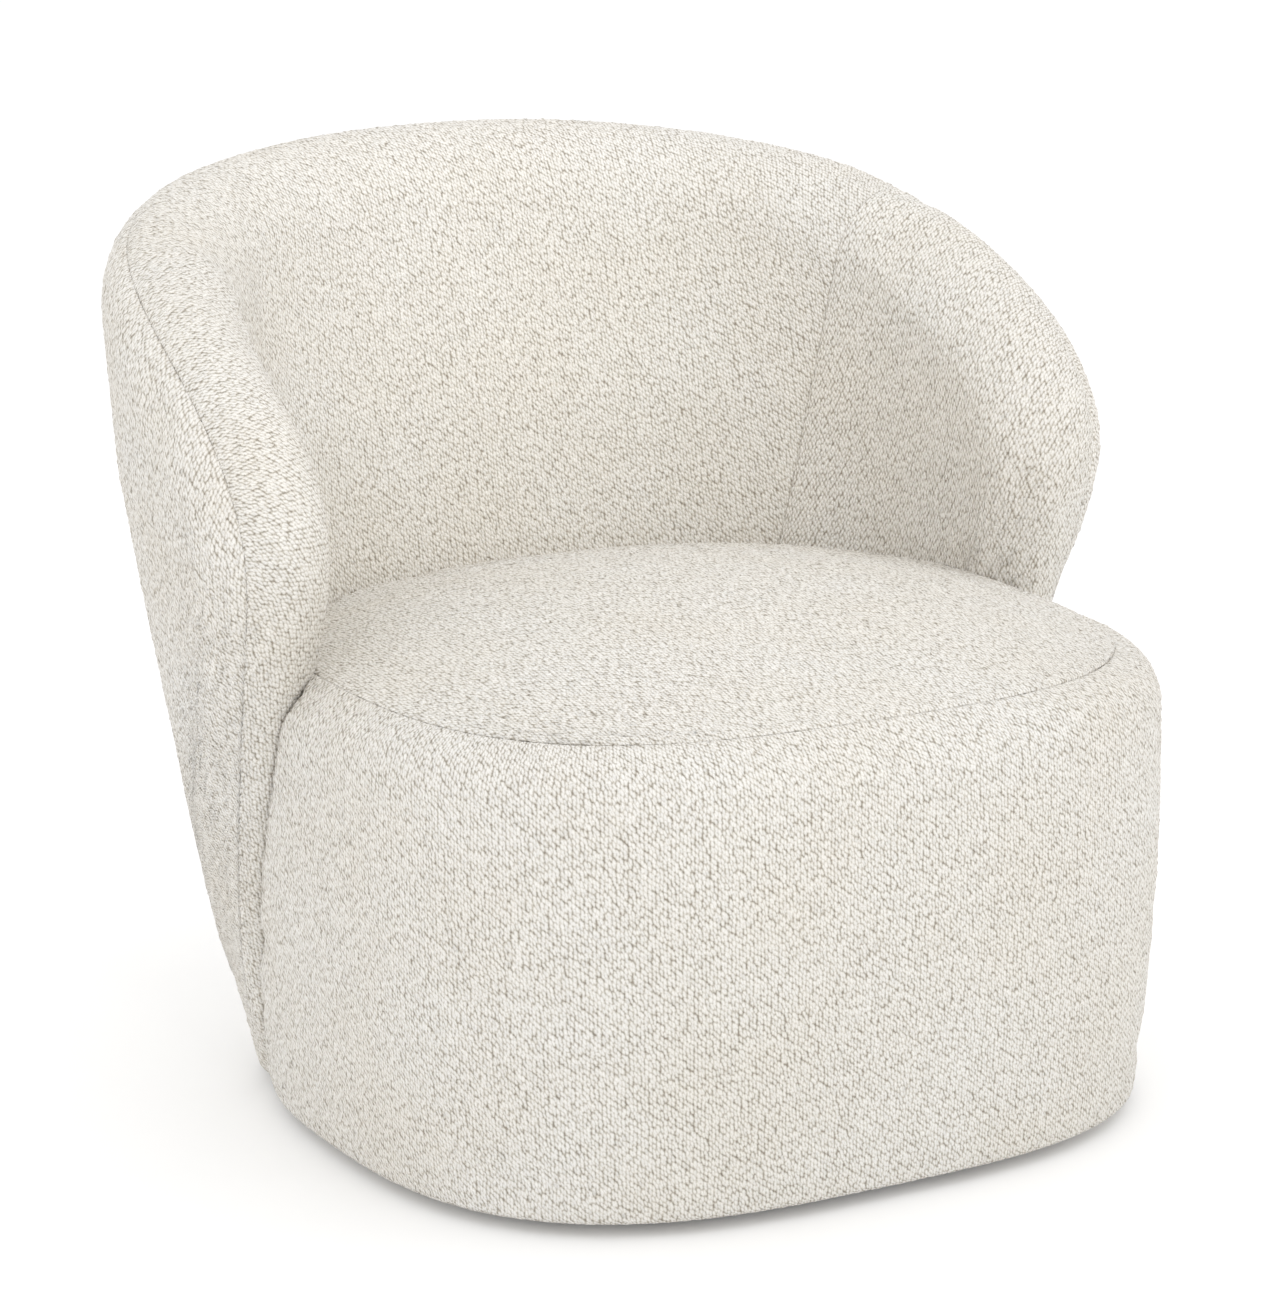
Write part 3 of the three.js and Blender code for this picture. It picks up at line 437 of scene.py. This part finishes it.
def folded(edge, middle):
    """Rows of cloth that turn in under the hem, from an edge to the middle of the underside."""
    distance = np.linalg.norm((middle - edge)[:, :2], axis=1)
    turns = np.linspace(0, np.pi / 2, FOLD_ROWS // 2 + 1)[1:]
    rows = []
    for turn in turns:
        share = np.minimum(HEM_ROUND * (1 - np.cos(turn)) / np.maximum(distance, 1), 1)
        row = mix(edge, middle, share[:, None])
        row[:, 2] = mix(edge[:, 2], CLOTH_HEM, np.sin(turn))
        rows.append(row)
    for share in np.linspace(0, 1, FOLD_ROWS // 2 + 1)[1:]:
        row = mix(rows[FOLD_ROWS // 2 - 1], middle, share)
        row[:, 2] = CLOTH_HEM
        rows.append(row)
    return np.array(rows)


def blurred(values, passes):
    """A grid of values, smoothed along both of its directions."""
    for _ in range(passes):
        for axis in (0, 1):
            padded = np.concatenate([values.take([0], axis), values, values.take([-1], axis)], axis)
            ahead = np.delete(padded, (0, 1), axis)
            behind = np.delete(padded, (-1, -2), axis)
            values = (ahead + behind + 2 * values) / 4
    return values


def resampled(values, rows, columns, new_rows, new_columns):
    """A coarse grid of vectors, read off at finer rows and columns."""
    size = values.shape[2]
    tall = np.empty((len(new_rows), values.shape[1], size))
    wide = np.empty((len(new_rows), len(new_columns), size))
    for axis in range(size):
        for j in range(values.shape[1]):
            tall[:, j, axis] = np.interp(new_rows, rows, values[:, j, axis])
        for i in range(len(new_rows)):
            wide[i, :, axis] = np.interp(new_columns, columns, tall[i, :, axis])
    return wide


# ---- Panels ----

class Panel:
    """One sewn panel: its surface, its two lengths, and which of its sides are seams or hems."""

    def __init__(self, name, nodes, lengths, surface, seams, finish, fill):
        self.name = name
        self.nodes = nodes
        self.lengths = lengths
        self.surface = surface
        self.seams = seams
        self.finish = finish
        self.fill = fill
        self.swell = None

    def points(self, rows, columns, depth):
        down, right = np.meshgrid(rows, columns, indexing="ij")
        return self.surface(down, right, depth)

    def coarse_lines(self):
        return [np.linspace(0, length, int(length / SIM_GRID) + 1) for length in self.lengths]


def simulate(panels):
    """Blows up each panel as a sheet of cloth held at its borders, and keeps how far it swelled."""
    sheets = []
    for panel in panels:
        rows, columns = panel.coarse_lines()
        start = panel.points(rows, columns, START_DEPTH)
        sheet = mesh_object("sheet", start.reshape(-1, 3), grid_faces(len(rows), len(columns)))
        pins = sheet.vertex_groups.new(name="seams")
        index = np.arange(len(rows) * len(columns)).reshape(len(rows), len(columns))
        pins.add(border(index).tolist(), 1.0, "REPLACE")
        cloth = sheet.modifiers.new("cloth", "CLOTH")
        cloth.settings.quality = 5
        cloth.settings.mass = 0.4
        cloth.settings.tension_stiffness = 20
        cloth.settings.compression_stiffness = 20
        cloth.settings.shear_stiffness = 8
        cloth.settings.bending_stiffness = 1.5
        cloth.settings.use_pressure = True
        cloth.settings.uniform_pressure_force = SIM_PRESSURE
        cloth.settings.shrink_min = -0.012
        cloth.settings.vertex_group_mass = "seams"
        cloth.settings.effector_weights.gravity = 0
        cloth.point_cache.frame_end = SIM_FRAMES
        sheets.append((panel, start, sheet))
    for number in range(1, SIM_FRAMES + 1):
        scene.frame_set(number)
    depsgraph = bpy.context.evaluated_depsgraph_get()
    for panel, start, sheet in sheets:
        moved = np.empty(start.size)
        sheet.evaluated_get(depsgraph).data.vertices.foreach_get("co", moved)
        swell = moved.reshape(start.shape) / MM - start
        size = np.linalg.norm(swell, axis=-1, keepdims=True)
        panel.swell = swell * np.minimum(1, SWELL / np.maximum(size, 1e-6))
    for _, _, sheet in sheets:
        bpy.data.objects.remove(sheet)
    scene.frame_set(1)


def laid_flat(panel):
    """The panel as it was cut: unwrapped flat with the least stretch, upright at its middle."""
    rows, columns = panel.coarse_lines()
    points = panel.points(rows, columns, 0)
    sheet = mesh_object("pattern", points.reshape(-1, 3), grid_faces(len(rows), len(columns)))
    bpy.context.view_layer.objects.active = sheet
    bpy.ops.object.mode_set(mode="EDIT")
    bpy.ops.mesh.select_all(action="SELECT")
    bpy.ops.uv.unwrap(method="MINIMUM_STRETCH", margin=0)
    bpy.ops.object.mode_set(mode="OBJECT")
    corners = np.empty(len(sheet.data.loops), int)
    sheet.data.loops.foreach_get("vertex_index", corners)
    places = np.empty((len(corners), 2))
    sheet.data.uv_layers.active.data.foreach_get("uv", places.reshape(-1))
    flat = np.empty((len(rows) * len(columns), 2))
    flat[corners] = places
    flat = flat.reshape(len(rows), len(columns), 2)
    bpy.data.objects.remove(sheet)
    true_length = np.linalg.norm(np.diff(points, axis=0), axis=-1).sum()
    flat *= true_length / np.linalg.norm(np.diff(flat, axis=0), axis=-1).sum()
    middle, centre = len(rows) // 2, len(columns) // 2
    upright = flat[middle - 1, centre] - flat[middle + 1, centre]
    upright /= np.linalg.norm(upright)
    return flat @ np.array([[upright[1], upright[0]], [-upright[0], upright[1]]])


def loops(shape, spacing, seed):
    """Random heights for the boucle's loops, less where the grid is finer than a loop."""
    heights = np.random.default_rng(seed).normal(0, LOOP_HEIGHT, shape)
    return heights * np.clip(spacing / GRID, LOWEST_LOOP, 1)


def build(panel, seed):
    """The finished mesh of a panel, riding on the seat in place of its CAD nodes."""
    row_seams, column_seams = panel.seams
    rows = stations(panel.lengths[0], GRID, *row_seams)
    columns = stations(panel.lengths[1], GRID, *column_seams)
    depth = np.maximum(
        roll(rows, panel.lengths[0], *row_seams)[:, None],
        roll(columns, panel.lengths[1], *column_seams)[None, :],
    )
    front = panel.points(rows, columns, START_DEPTH + depth)
    if panel.swell is not None:
        front += blurred(resampled(panel.swell, *panel.coarse_lines(), rows, columns), SWELL_BLUR)
    front, folds = panel.finish(front)
    weave = resampled(laid_flat(panel), *panel.coarse_lines(), rows, columns)
    weave = np.pad(weave, (*folds, (0, 0)), "reflect", reflect_type="odd")
    down = np.linalg.norm(np.gradient(front, axis=0), axis=-1)
    right = np.linalg.norm(np.gradient(front, axis=1), axis=-1)
    heights = loops(front.shape[:2], np.minimum(down, right), seed)
    front += grid_normals(front) * heights[..., None]
    piece = panel_object(panel.name, front, weave)
    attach(piece, "seat")
    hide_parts(*panel.nodes)
    return piece


def wall_panel(name, nodes, shares, places, distances, seams, folds, fill):
    """Panel of the wall between two shares of the rim; distances are those of the places across."""
    length = (shares[1] - shares[0]) * RIM_LENGTH

    def surface(down, right, depth):
        across = np.interp(down, distances, places)
        return wall_surface(mix(shares[0], shares[1], right / length), across, depth)

    def finish(front):
        if "bottom" in folds:
            front = np.concatenate([front, folded(front[-1], wall_middle(front[-1], MIDDLE_GAP))])
        if "top" in folds:
            turned_in = folded(front[0], wall_middle(front[0], -MIDDLE_GAP))
            front = np.concatenate([turned_in[::-1], front])
        if "start" in folds:
            turned_in = folded(front[:, 0], wall_middle(front[:, 0], 0))
            front = np.concatenate([turned_in[::-1].transpose(1, 0, 2), front], axis=1)
        if "end" in folds:
            turned_in = folded(front[:, -1], wall_middle(front[:, -1], 0))
            front = np.concatenate([front, turned_in.transpose(1, 0, 2)], axis=1)
        added = [FOLD_ROWS * (side in folds) for side in ("top", "bottom", "start", "end")]
        return front, (added[:2], added[2:])

    return Panel(name, nodes, (distances[-1], length), surface, seams, finish, fill)


def wall_middle(edge, outward):
    """Points on the wall's middle surface next to those of an edge at foot height."""
    level = int(round(FOOT / LEVEL_STEP))
    plan = PLAN[level]
    gaps = np.hypot(plan[:, 0] - np.abs(edge[:, :1]), plan[:, 1] - edge[:, 1:2])
    along = np.minimum(WALKS[np.argmin(gaps, axis=1)], RIM_HEM_REACH - TIP_ROOM)
    side = np.where(edge[:, 0] < 0, -1.0, 1.0)
    return wall_point(along * side, np.full(len(edge), float(FOOT)), np.full(len(edge), -float(outward)))


def seat_side_panel():
    """Boxing round the seat, from the hem up over the shoulder to the seam."""
    straight = SEAT_SEAM_Z - SEAT_SHOULDER - FOOT
    shoulder = SEAT_SHOULDER * np.pi / 2 * (SEAM_CLIMB - 1)
    start, end = np.radians(SEAT_SIDE_ENDS)
    lowest = (FOOT - HEM) / (SEAT_SEAM_Z - SEAT_SHOULDER - HEM)

    def surface(down, right, depth):
        angle = even_angles(start, end, right / SEAT_SIDE_LENGTH)
        top = seam_height(angle)
        rising = np.clip(down / straight, 0, 1)
        over = np.clip((down - straight) / shoulder, 0, 1)
        climb = np.where(down < straight, mix(lowest, 1, rising), mix(1, top, over))
        return seat_surface(angle, climb, depth)

    def finish(front):
        front = clear_of_wall(front)
        centre = np.array([0, SEAT_CENTRE_Y, 0])
        middle = centre + (front[0] - centre) * (1 - HEM_FOLD / SEAT_HALF_WIDTH)
        return np.concatenate([folded(front[0], middle)[::-1], front]), ((FOLD_ROWS, 0), (0, 0))

    nodes = ["seat_side_cover", "seat_side_foam"]
    lengths = (straight + shoulder, SEAT_SIDE_LENGTH)
    seams = ((False, True), (False, False))
    return Panel("seat_side_upholstery", nodes, lengths, surface, seams, finish, fill=0.9)


def seat_top_panel():
    """Crowned top of the seat, drawn as a square grid pressed into the seat's outline."""
    def surface(down, right, depth):
        u = 2 * right / SEAT_TOP_SIZE - 1
        v = 1 - 2 * down / SEAT_TOP_SIZE
        x = u * np.sqrt(1 - v * v / 2)
        y = v * np.sqrt(1 - u * u / 2)
        angle = np.arctan2(y, x)
        out = np.clip(np.hypot(x, y), 0, 1)
        edge = seam_height(plan_angle(angle))
        shoulder = SEAT_SHOULDER * np.pi / 2 * (2 - edge)
        rim = SEAT_DOME / (SEAT_DOME + shoulder)
        over = 2 - (out - rim) / (1 - rim) * (2 - edge)
        return seat_surface(plan_angle(angle), np.where(out < rim, 3 - out / rim, over), depth)

    def finish(front):
        return clear_of_wall(front), ((0, 0), (0, 0))

    nodes = ["seat_top_cover", "seat_foam"]
    lengths = (SEAT_TOP_SIZE, SEAT_TOP_SIZE)
    seams = ((True, True), (True, True))
    return Panel("seat_top_upholstery", nodes, lengths, surface, seams, finish, fill=0.8)


def plan_angle(angle):
    """Turns an angle seen from the seat's middle into the angle that seat_plan takes."""
    dense = np.linspace(-np.pi, np.pi, 4001)
    x, y = seat_plan(dense)
    return np.interp(angle, np.unwrap(np.arctan2(y, x)), dense)


def wing_panel(side, shares, fold):
    seams = ((True, False), (fold == "end", fold == "start"))
    nodes = [f"inner_wing_cover_{side}", f"rim_foam_{side}"]
    return wall_panel(f"wing_upholstery_{side}", nodes, shares, INNER_PLACES, INNER_DISTANCES, seams,
                      ("bottom", fold), fill=0.85)


def all_panels():
    back_nodes = ["inner_back_cover", "inner_back_foam", "rim_foam_back"]
    outer_nodes = ["outer_back_cover", "outer_foam_right", "outer_foam_back", "outer_foam_left"]
    return [
        wall_panel("outer_back_upholstery", outer_nodes, (0, 1), OUTER_PLACES,
                   OUTER_DISTANCES, ((False, True), (False, False)), ("top", "start", "end"), fill=0.9),
        wall_panel("inner_back_upholstery", back_nodes, (PANEL_SEAM, 1 - PANEL_SEAM), INNER_PLACES,
                   INNER_DISTANCES, ((True, False), (True, True)), ("bottom",), fill=0.85),
        wing_panel("right", (0, PANEL_SEAM), "start"),
        wing_panel("left", (1 - PANEL_SEAM, 1), "end"),
        seat_side_panel(),
        seat_top_panel(),
    ]


# ---- Dust cloth ----

def build_dust_cloth():
    """Non-woven cloth stapled under the seat, sagging a little between its edge and its hole."""
    low, high = (np.array(corner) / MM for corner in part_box("dust_cover"))
    swivel_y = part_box("swivel_pivot")[0][1] / MM + DUST_CLOTH_HOLE_OFFSET
    angle = np.linspace(-np.pi, np.pi, DUST_CLOTH_SPOKES, endpoint=False)[None, :]
    share = np.linspace(0, 1, DUST_CLOTH_RINGS)[:, None]
    x, y = seat_plan(angle)
    scale = SEAT_HEM_SCALE * (1 - DUST_CLOTH_INSET / SEAT_HALF_WIDTH)
    outline = np.stack([x * scale, SEAT_CENTRE_Y + y * scale, np.full_like(x, FOOT)], -1)
    outline = clear_of_wall(outline)
    hole = np.stack([DUST_CLOTH_HOLE * np.cos(angle), swivel_y + DUST_CLOTH_HOLE * np.sin(angle)], -1)
    flat = mix(hole, outline[..., :2], share[..., None])
    ripple = 1 + DUST_CLOTH_RIPPLE * np.cos(DUST_CLOTH_RIPPLES * angle)
    sag = DUST_CLOTH_SAG * np.sin(share * np.pi) * ripple
    lower = np.concatenate([flat, (low[2] - sag)[..., None]], -1)
    upper = lower + (0, 0, DUST_CLOTH_THICKNESS)
    points = np.concatenate([lower.reshape(-1, 3), upper.reshape(-1, 3)])
    count = DUST_CLOTH_RINGS * DUST_CLOTH_SPOKES
    faces = []
    for j in range(DUST_CLOTH_SPOKES):
        k = (j + 1) % DUST_CLOTH_SPOKES
        for i in range(DUST_CLOTH_RINGS - 1):
            corners = [(i, j), (i, k), (i + 1, k), (i + 1, j)]
            quad = [ring * DUST_CLOTH_SPOKES + spoke for ring, spoke in corners]
            faces.append(quad)
            faces.append([corner + count for corner in reversed(quad)])
        last = (DUST_CLOTH_RINGS - 1) * DUST_CLOTH_SPOKES
        faces.append([k, j, j + count, k + count])
        faces.append([last + j, last + k, last + k + count, last + j + count])
    cloth = mesh_object("dust_cloth", points, faces)
    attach(cloth, "seat")
    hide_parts("dust_cover")
    return cloth


# ---- Materials ----

def new_material(name, roughness, metallic=0.0):
    """Node material with its nodes, its links, its shader and object coordinates."""
    material = bpy.data.materials.new(name)
    material.use_nodes = True
    nodes, links = material.node_tree.nodes, material.node_tree.links
    shader = nodes["Principled BSDF"]
    shader.inputs["Roughness"].default_value = roughness
    shader.inputs["Metallic"].default_value = metallic
    place = nodes.new("ShaderNodeTexCoord").outputs["Object"]
    return material, nodes, links, shader, place


def stretched(nodes, links, place, scale):
    mapping = nodes.new("ShaderNodeMapping")
    mapping.inputs["Scale"].default_value = scale
    links.new(place, mapping.inputs["Vector"])
    return mapping.outputs["Vector"]


def noise(nodes, links, place, scale, detail=2.0, output="Fac"):
    texture = nodes.new("ShaderNodeTexNoise")
    texture.inputs["Scale"].default_value = scale
    texture.inputs["Detail"].default_value = detail
    links.new(place, texture.inputs["Vector"])
    return texture.outputs[output]


def cells(nodes, links, place, scale):
    texture = nodes.new("ShaderNodeTexVoronoi")
    texture.inputs["Scale"].default_value = scale
    links.new(place, texture.inputs["Vector"])
    return texture.outputs["Distance"]


def ramp(nodes, links, value, stops):
    """Colour ramp over a value; each stop is a position and a colour."""
    node = nodes.new("ShaderNodeValToRGB")
    while len(node.color_ramp.elements) < len(stops):
        node.color_ramp.elements.new(0.5)
    for element, (position, colour) in zip(node.color_ramp.elements, stops):
        element.position = position
        element.color = (*colour, 1)
    links.new(value, node.inputs["Fac"])
    return node.outputs["Color"]


def math(nodes, links, operation, first, second):
    node = nodes.new("ShaderNodeMath")
    node.operation = operation
    for socket, value in zip(node.inputs, (first, second)):
        if isinstance(value, (int, float)):
            socket.default_value = value
        else:
            links.new(value, socket)
    return node.outputs["Value"]


def multiplied(nodes, links, first, second):
    node = nodes.new("ShaderNodeMix")
    node.data_type = "RGBA"
    node.blend_type = "MULTIPLY"
    node.inputs["Factor"].default_value = 1
    links.new(first, node.inputs["A"])
    links.new(second, node.inputs["B"])
    return node.outputs["Result"]


def bump(nodes, links, shader, height, distance, strength=1.0):
    node = nodes.new("ShaderNodeBump")
    node.inputs["Strength"].default_value = strength
    node.inputs["Distance"].default_value = distance
    links.new(height, node.inputs["Height"])
    links.new(node.outputs["Normal"], shader.inputs["Normal"])


def knit(nodes, links, place):
    """Places on the cloth in stitches: columns side by side, each half a stitch up from the last."""
    weave = nodes.new("ShaderNodeAttribute")
    weave.attribute_name = "weave"
    wander = nodes.new("ShaderNodeVectorMath")
    wander.operation = "MULTIPLY_ADD"
    links.new(noise(nodes, links, place, WANDER_SCALE, 1, "Color"), wander.inputs[0])
    wander.inputs[1].default_value = (STITCH_WANDER, STITCH_WANDER, 0)
    links.new(weave.outputs["Vector"], wander.inputs[2])
    split = nodes.new("ShaderNodeSeparateXYZ")
    links.new(wander.outputs["Vector"], split.inputs[0])
    column = math(nodes, links, "DIVIDE", split.outputs["X"], STITCH_WIDTH)
    climb = math(nodes, links, "DIVIDE", split.outputs["Y"], STITCH_HEIGHT)
    stagger = math(nodes, links, "MULTIPLY", column, 0.5)
    join = nodes.new("ShaderNodeCombineXYZ")
    links.new(column, join.inputs["X"])
    links.new(math(nodes, links, "ADD", climb, stagger), join.inputs["Y"])
    return join.outputs["Vector"]


def stitch_domes(nodes, links, stitches):
    """Distance from the middle of the nearest stitch, in stitches, and that stitch's random shade."""
    texture = nodes.new("ShaderNodeTexVoronoi")
    texture.voronoi_dimensions = "2D"
    texture.inputs["Scale"].default_value = 1
    texture.inputs["Randomness"].default_value = STITCH_RANDOMNESS
    links.new(stitches, texture.inputs["Vector"])
    return texture.outputs["Distance"], texture.outputs["Color"]


def boucle():
    """Cream looped cloth: small staggered loops in columns, with painted shade, darker and warmer, in
    the gaps between them.
    """
    material, nodes, links, shader, place = new_material("boucle_cloth", 0.92)
    shader.inputs["Specular IOR Level"].default_value = 0.15
    shader.inputs["Sheen Weight"].default_value = 0.15
    shader.inputs["Sheen Roughness"].default_value = 0.5
    distance, shade = stitch_domes(nodes, links, knit(nodes, links, place))
    crimps = cells(nodes, links, place, CRIMP_SCALE)
    dips = math(nodes, links, "ADD", math(nodes, links, "MULTIPLY", distance, LOOP_STEEPNESS),
                math(nodes, links, "MULTIPLY", crimps, CRIMP_DEPTH))
    height = math(nodes, links, "SUBTRACT", LOOP_TOP, dips)
    lift = math(nodes, links, "MULTIPLY", shade, LOOP_SPREAD)
    lift = math(nodes, links, "SUBTRACT", lift, LOOP_SPREAD / 2)
    height = math(nodes, links, "ADD", height, lift)
    # Painted shade in the gaps between the loops, and the yarn's own cream on their tops.
    yarn_and_gap_shade = ramp(nodes, links, height, YARN_AND_GAP_SHADE_COLOURS)
    patches = ramp(nodes, links, noise(nodes, links, place, PATCH_SCALE, 3), PATCH_COLOURS)
    links.new(multiplied(nodes, links, yarn_and_gap_shade, patches), shader.inputs["Base Color"])
    bump(nodes, links, shader, height, RELIEF)
    return material


def grained(name, dark, light, roughness, scale, stretch=(1, 1, 1), metallic=0.0, depth=0.0002):
    """Material whose colour and relief follow one stretched noise."""
    material, nodes, links, shader, place = new_material(name, roughness, metallic)
    grain = noise(nodes, links, stretched(nodes, links, place, stretch), scale, 6)
    links.new(ramp(nodes, links, grain, [(0.3, dark), (0.7, light)]), shader.inputs["Base Color"])
    bump(nodes, links, shader, grain, depth)
    return material


def metal(name, dark, light, roughness, scale):
    return grained(name, dark, light, roughness, scale, metallic=1.0)


def frame_materials():
    """One material for each slot of the CAD frame's own pieces."""
    return {
        "plywood": grained("birch_plywood", (0.50, 0.34, 0.18), (0.72, 0.54, 0.33), 0.6, 30, (1, 1, 9)),
        "fibreboard": grained("pressed_fibreboard", (0.22, 0.14, 0.08), (0.36, 0.25, 0.16), 0.8, 160),
        "black_board": grained("stained_board", (0.012, 0.012, 0.014), (0.03, 0.03, 0.033), 0.55, 60),
        "zinc_steel": metal("zinc_plate", (0.50, 0.51, 0.53), (0.68, 0.69, 0.71), 0.35, 90),
        "spring_steel": metal("oiled_wire", (0.10, 0.10, 0.11), (0.22, 0.22, 0.24), 0.4, 200),
        "black_cloth": grained("dust_cloth", (0.010, 0.010, 0.011), (0.035, 0.035, 0.037), 0.95, 900),
        "felt": grained("grey_felt", (0.22, 0.21, 0.19), (0.42, 0.40, 0.37), 0.95, 700, depth=0.0006),
        "nylon": grained("cream_nylon", (0.62, 0.62, 0.58), (0.74, 0.74, 0.70), 0.45, 40),
    }


def dress_frame(looks):
    """Gives each CAD node that stays its material."""
    for part in frame["record"]["subparts"]:
        look = looks.get(part["material_slot"])
        node = frame["nodes"][part["node"]]
        if look and not node.hide_render:
            node.data.materials.clear()
            node.data.materials.append(look)


# ---- Floor, light and camera ----

def build_floor():
    """Plain pale floor that fills the picture."""
    mesh = bpy.data.meshes.new("floor")
    corners = [(x * FLOOR_REACH, y * FLOOR_REACH, 0) for x, y in ((-1, -1), (1, -1), (1, 1), (-1, 1))]
    mesh.from_pydata(corners, [], [(0, 1, 2, 3)])
    floor = bpy.data.objects.new("floor", mesh)
    scene.collection.objects.link(floor)
    paint = grained("floor_paint", (0.93, 0.93, 0.93), (0.95, 0.95, 0.95), 0.9, 2, depth=0)
    shader = paint.node_tree.nodes["Principled BSDF"]
    shader.inputs["Emission Color"].default_value = (1, 1, 1, 1)
    shader.inputs["Emission Strength"].default_value = FLOOR_GLOW
    floor.data.materials.append(paint)


def aim(lamp, position, target):
    lamp.location = position
    lamp.rotation_euler = (Vector(target) - Vector(position)).to_track_quat("-Z", "Y").to_euler()
    scene.collection.objects.link(lamp)


def soft_light(name, position, power):
    light = bpy.data.lights.new(name, "AREA")
    light.shape = "DISK"
    light.size = LIGHT_SIZE
    light.energy = power
    aim(bpy.data.objects.new(name, light), position, LIGHT_TARGET)


def beam(name):
    """Soft-edged beam on the inner back."""
    light = bpy.data.lights.new(name, "SPOT")
    light.spot_size = np.radians(BEAM_ANGLE)
    light.spot_blend = 1
    light.shadow_soft_size = 0.4
    light.energy = BEAM_POWER
    aim(bpy.data.objects.new(name, light), BEAM_PLACE, BEAM_TARGET)


def build_lights():
    """White room with large soft lights above the chair and a beam on its inner back."""
    world = bpy.data.worlds.new("studio")
    world.use_nodes = True
    background = world.node_tree.nodes["Background"]
    background.inputs["Color"].default_value = (1, 1, 1, 1)
    background.inputs["Strength"].default_value = ROOM_BRIGHTNESS
    scene.world = world
    for name, (position, power) in SOFT_LIGHTS.items():
        soft_light(name, position, power)
    beam("back_light")


def build_camera():
    """Camera at the photographed angle, looking at the middle of the chair."""
    data = bpy.data.cameras.new("camera")
    data.sensor_fit = "HORIZONTAL"
    data.sensor_width = SENSOR_WIDTH
    data.lens = LENS
    data.shift_x, data.shift_y = LENS_SHIFT
    camera = bpy.data.objects.new("camera", data)
    azimuth, elevation = np.radians((CAMERA_AZIMUTH, CAMERA_ELEVATION))
    back = Vector((
        np.sin(azimuth) * np.cos(elevation),
        -np.cos(azimuth) * np.cos(elevation),
        np.sin(elevation),
    ))
    camera.location = Vector(CAMERA_TARGET) + back * CAMERA_DISTANCE
    camera.rotation_euler = back.to_track_quat("Z", "Y").to_euler()
    scene.collection.objects.link(camera)
    scene.camera = camera


panels = all_panels()
simulate(panels)
cloth_look = boucle()
for seed, panel in enumerate(panels):
    build(panel, seed).data.materials.append(cloth_look)
frame_looks = frame_materials()
build_dust_cloth().data.materials.append(frame_looks["black_cloth"])
dress_frame(frame_looks)
build_floor()
build_lights()
build_camera()
scene.view_settings.view_transform = "Standard"
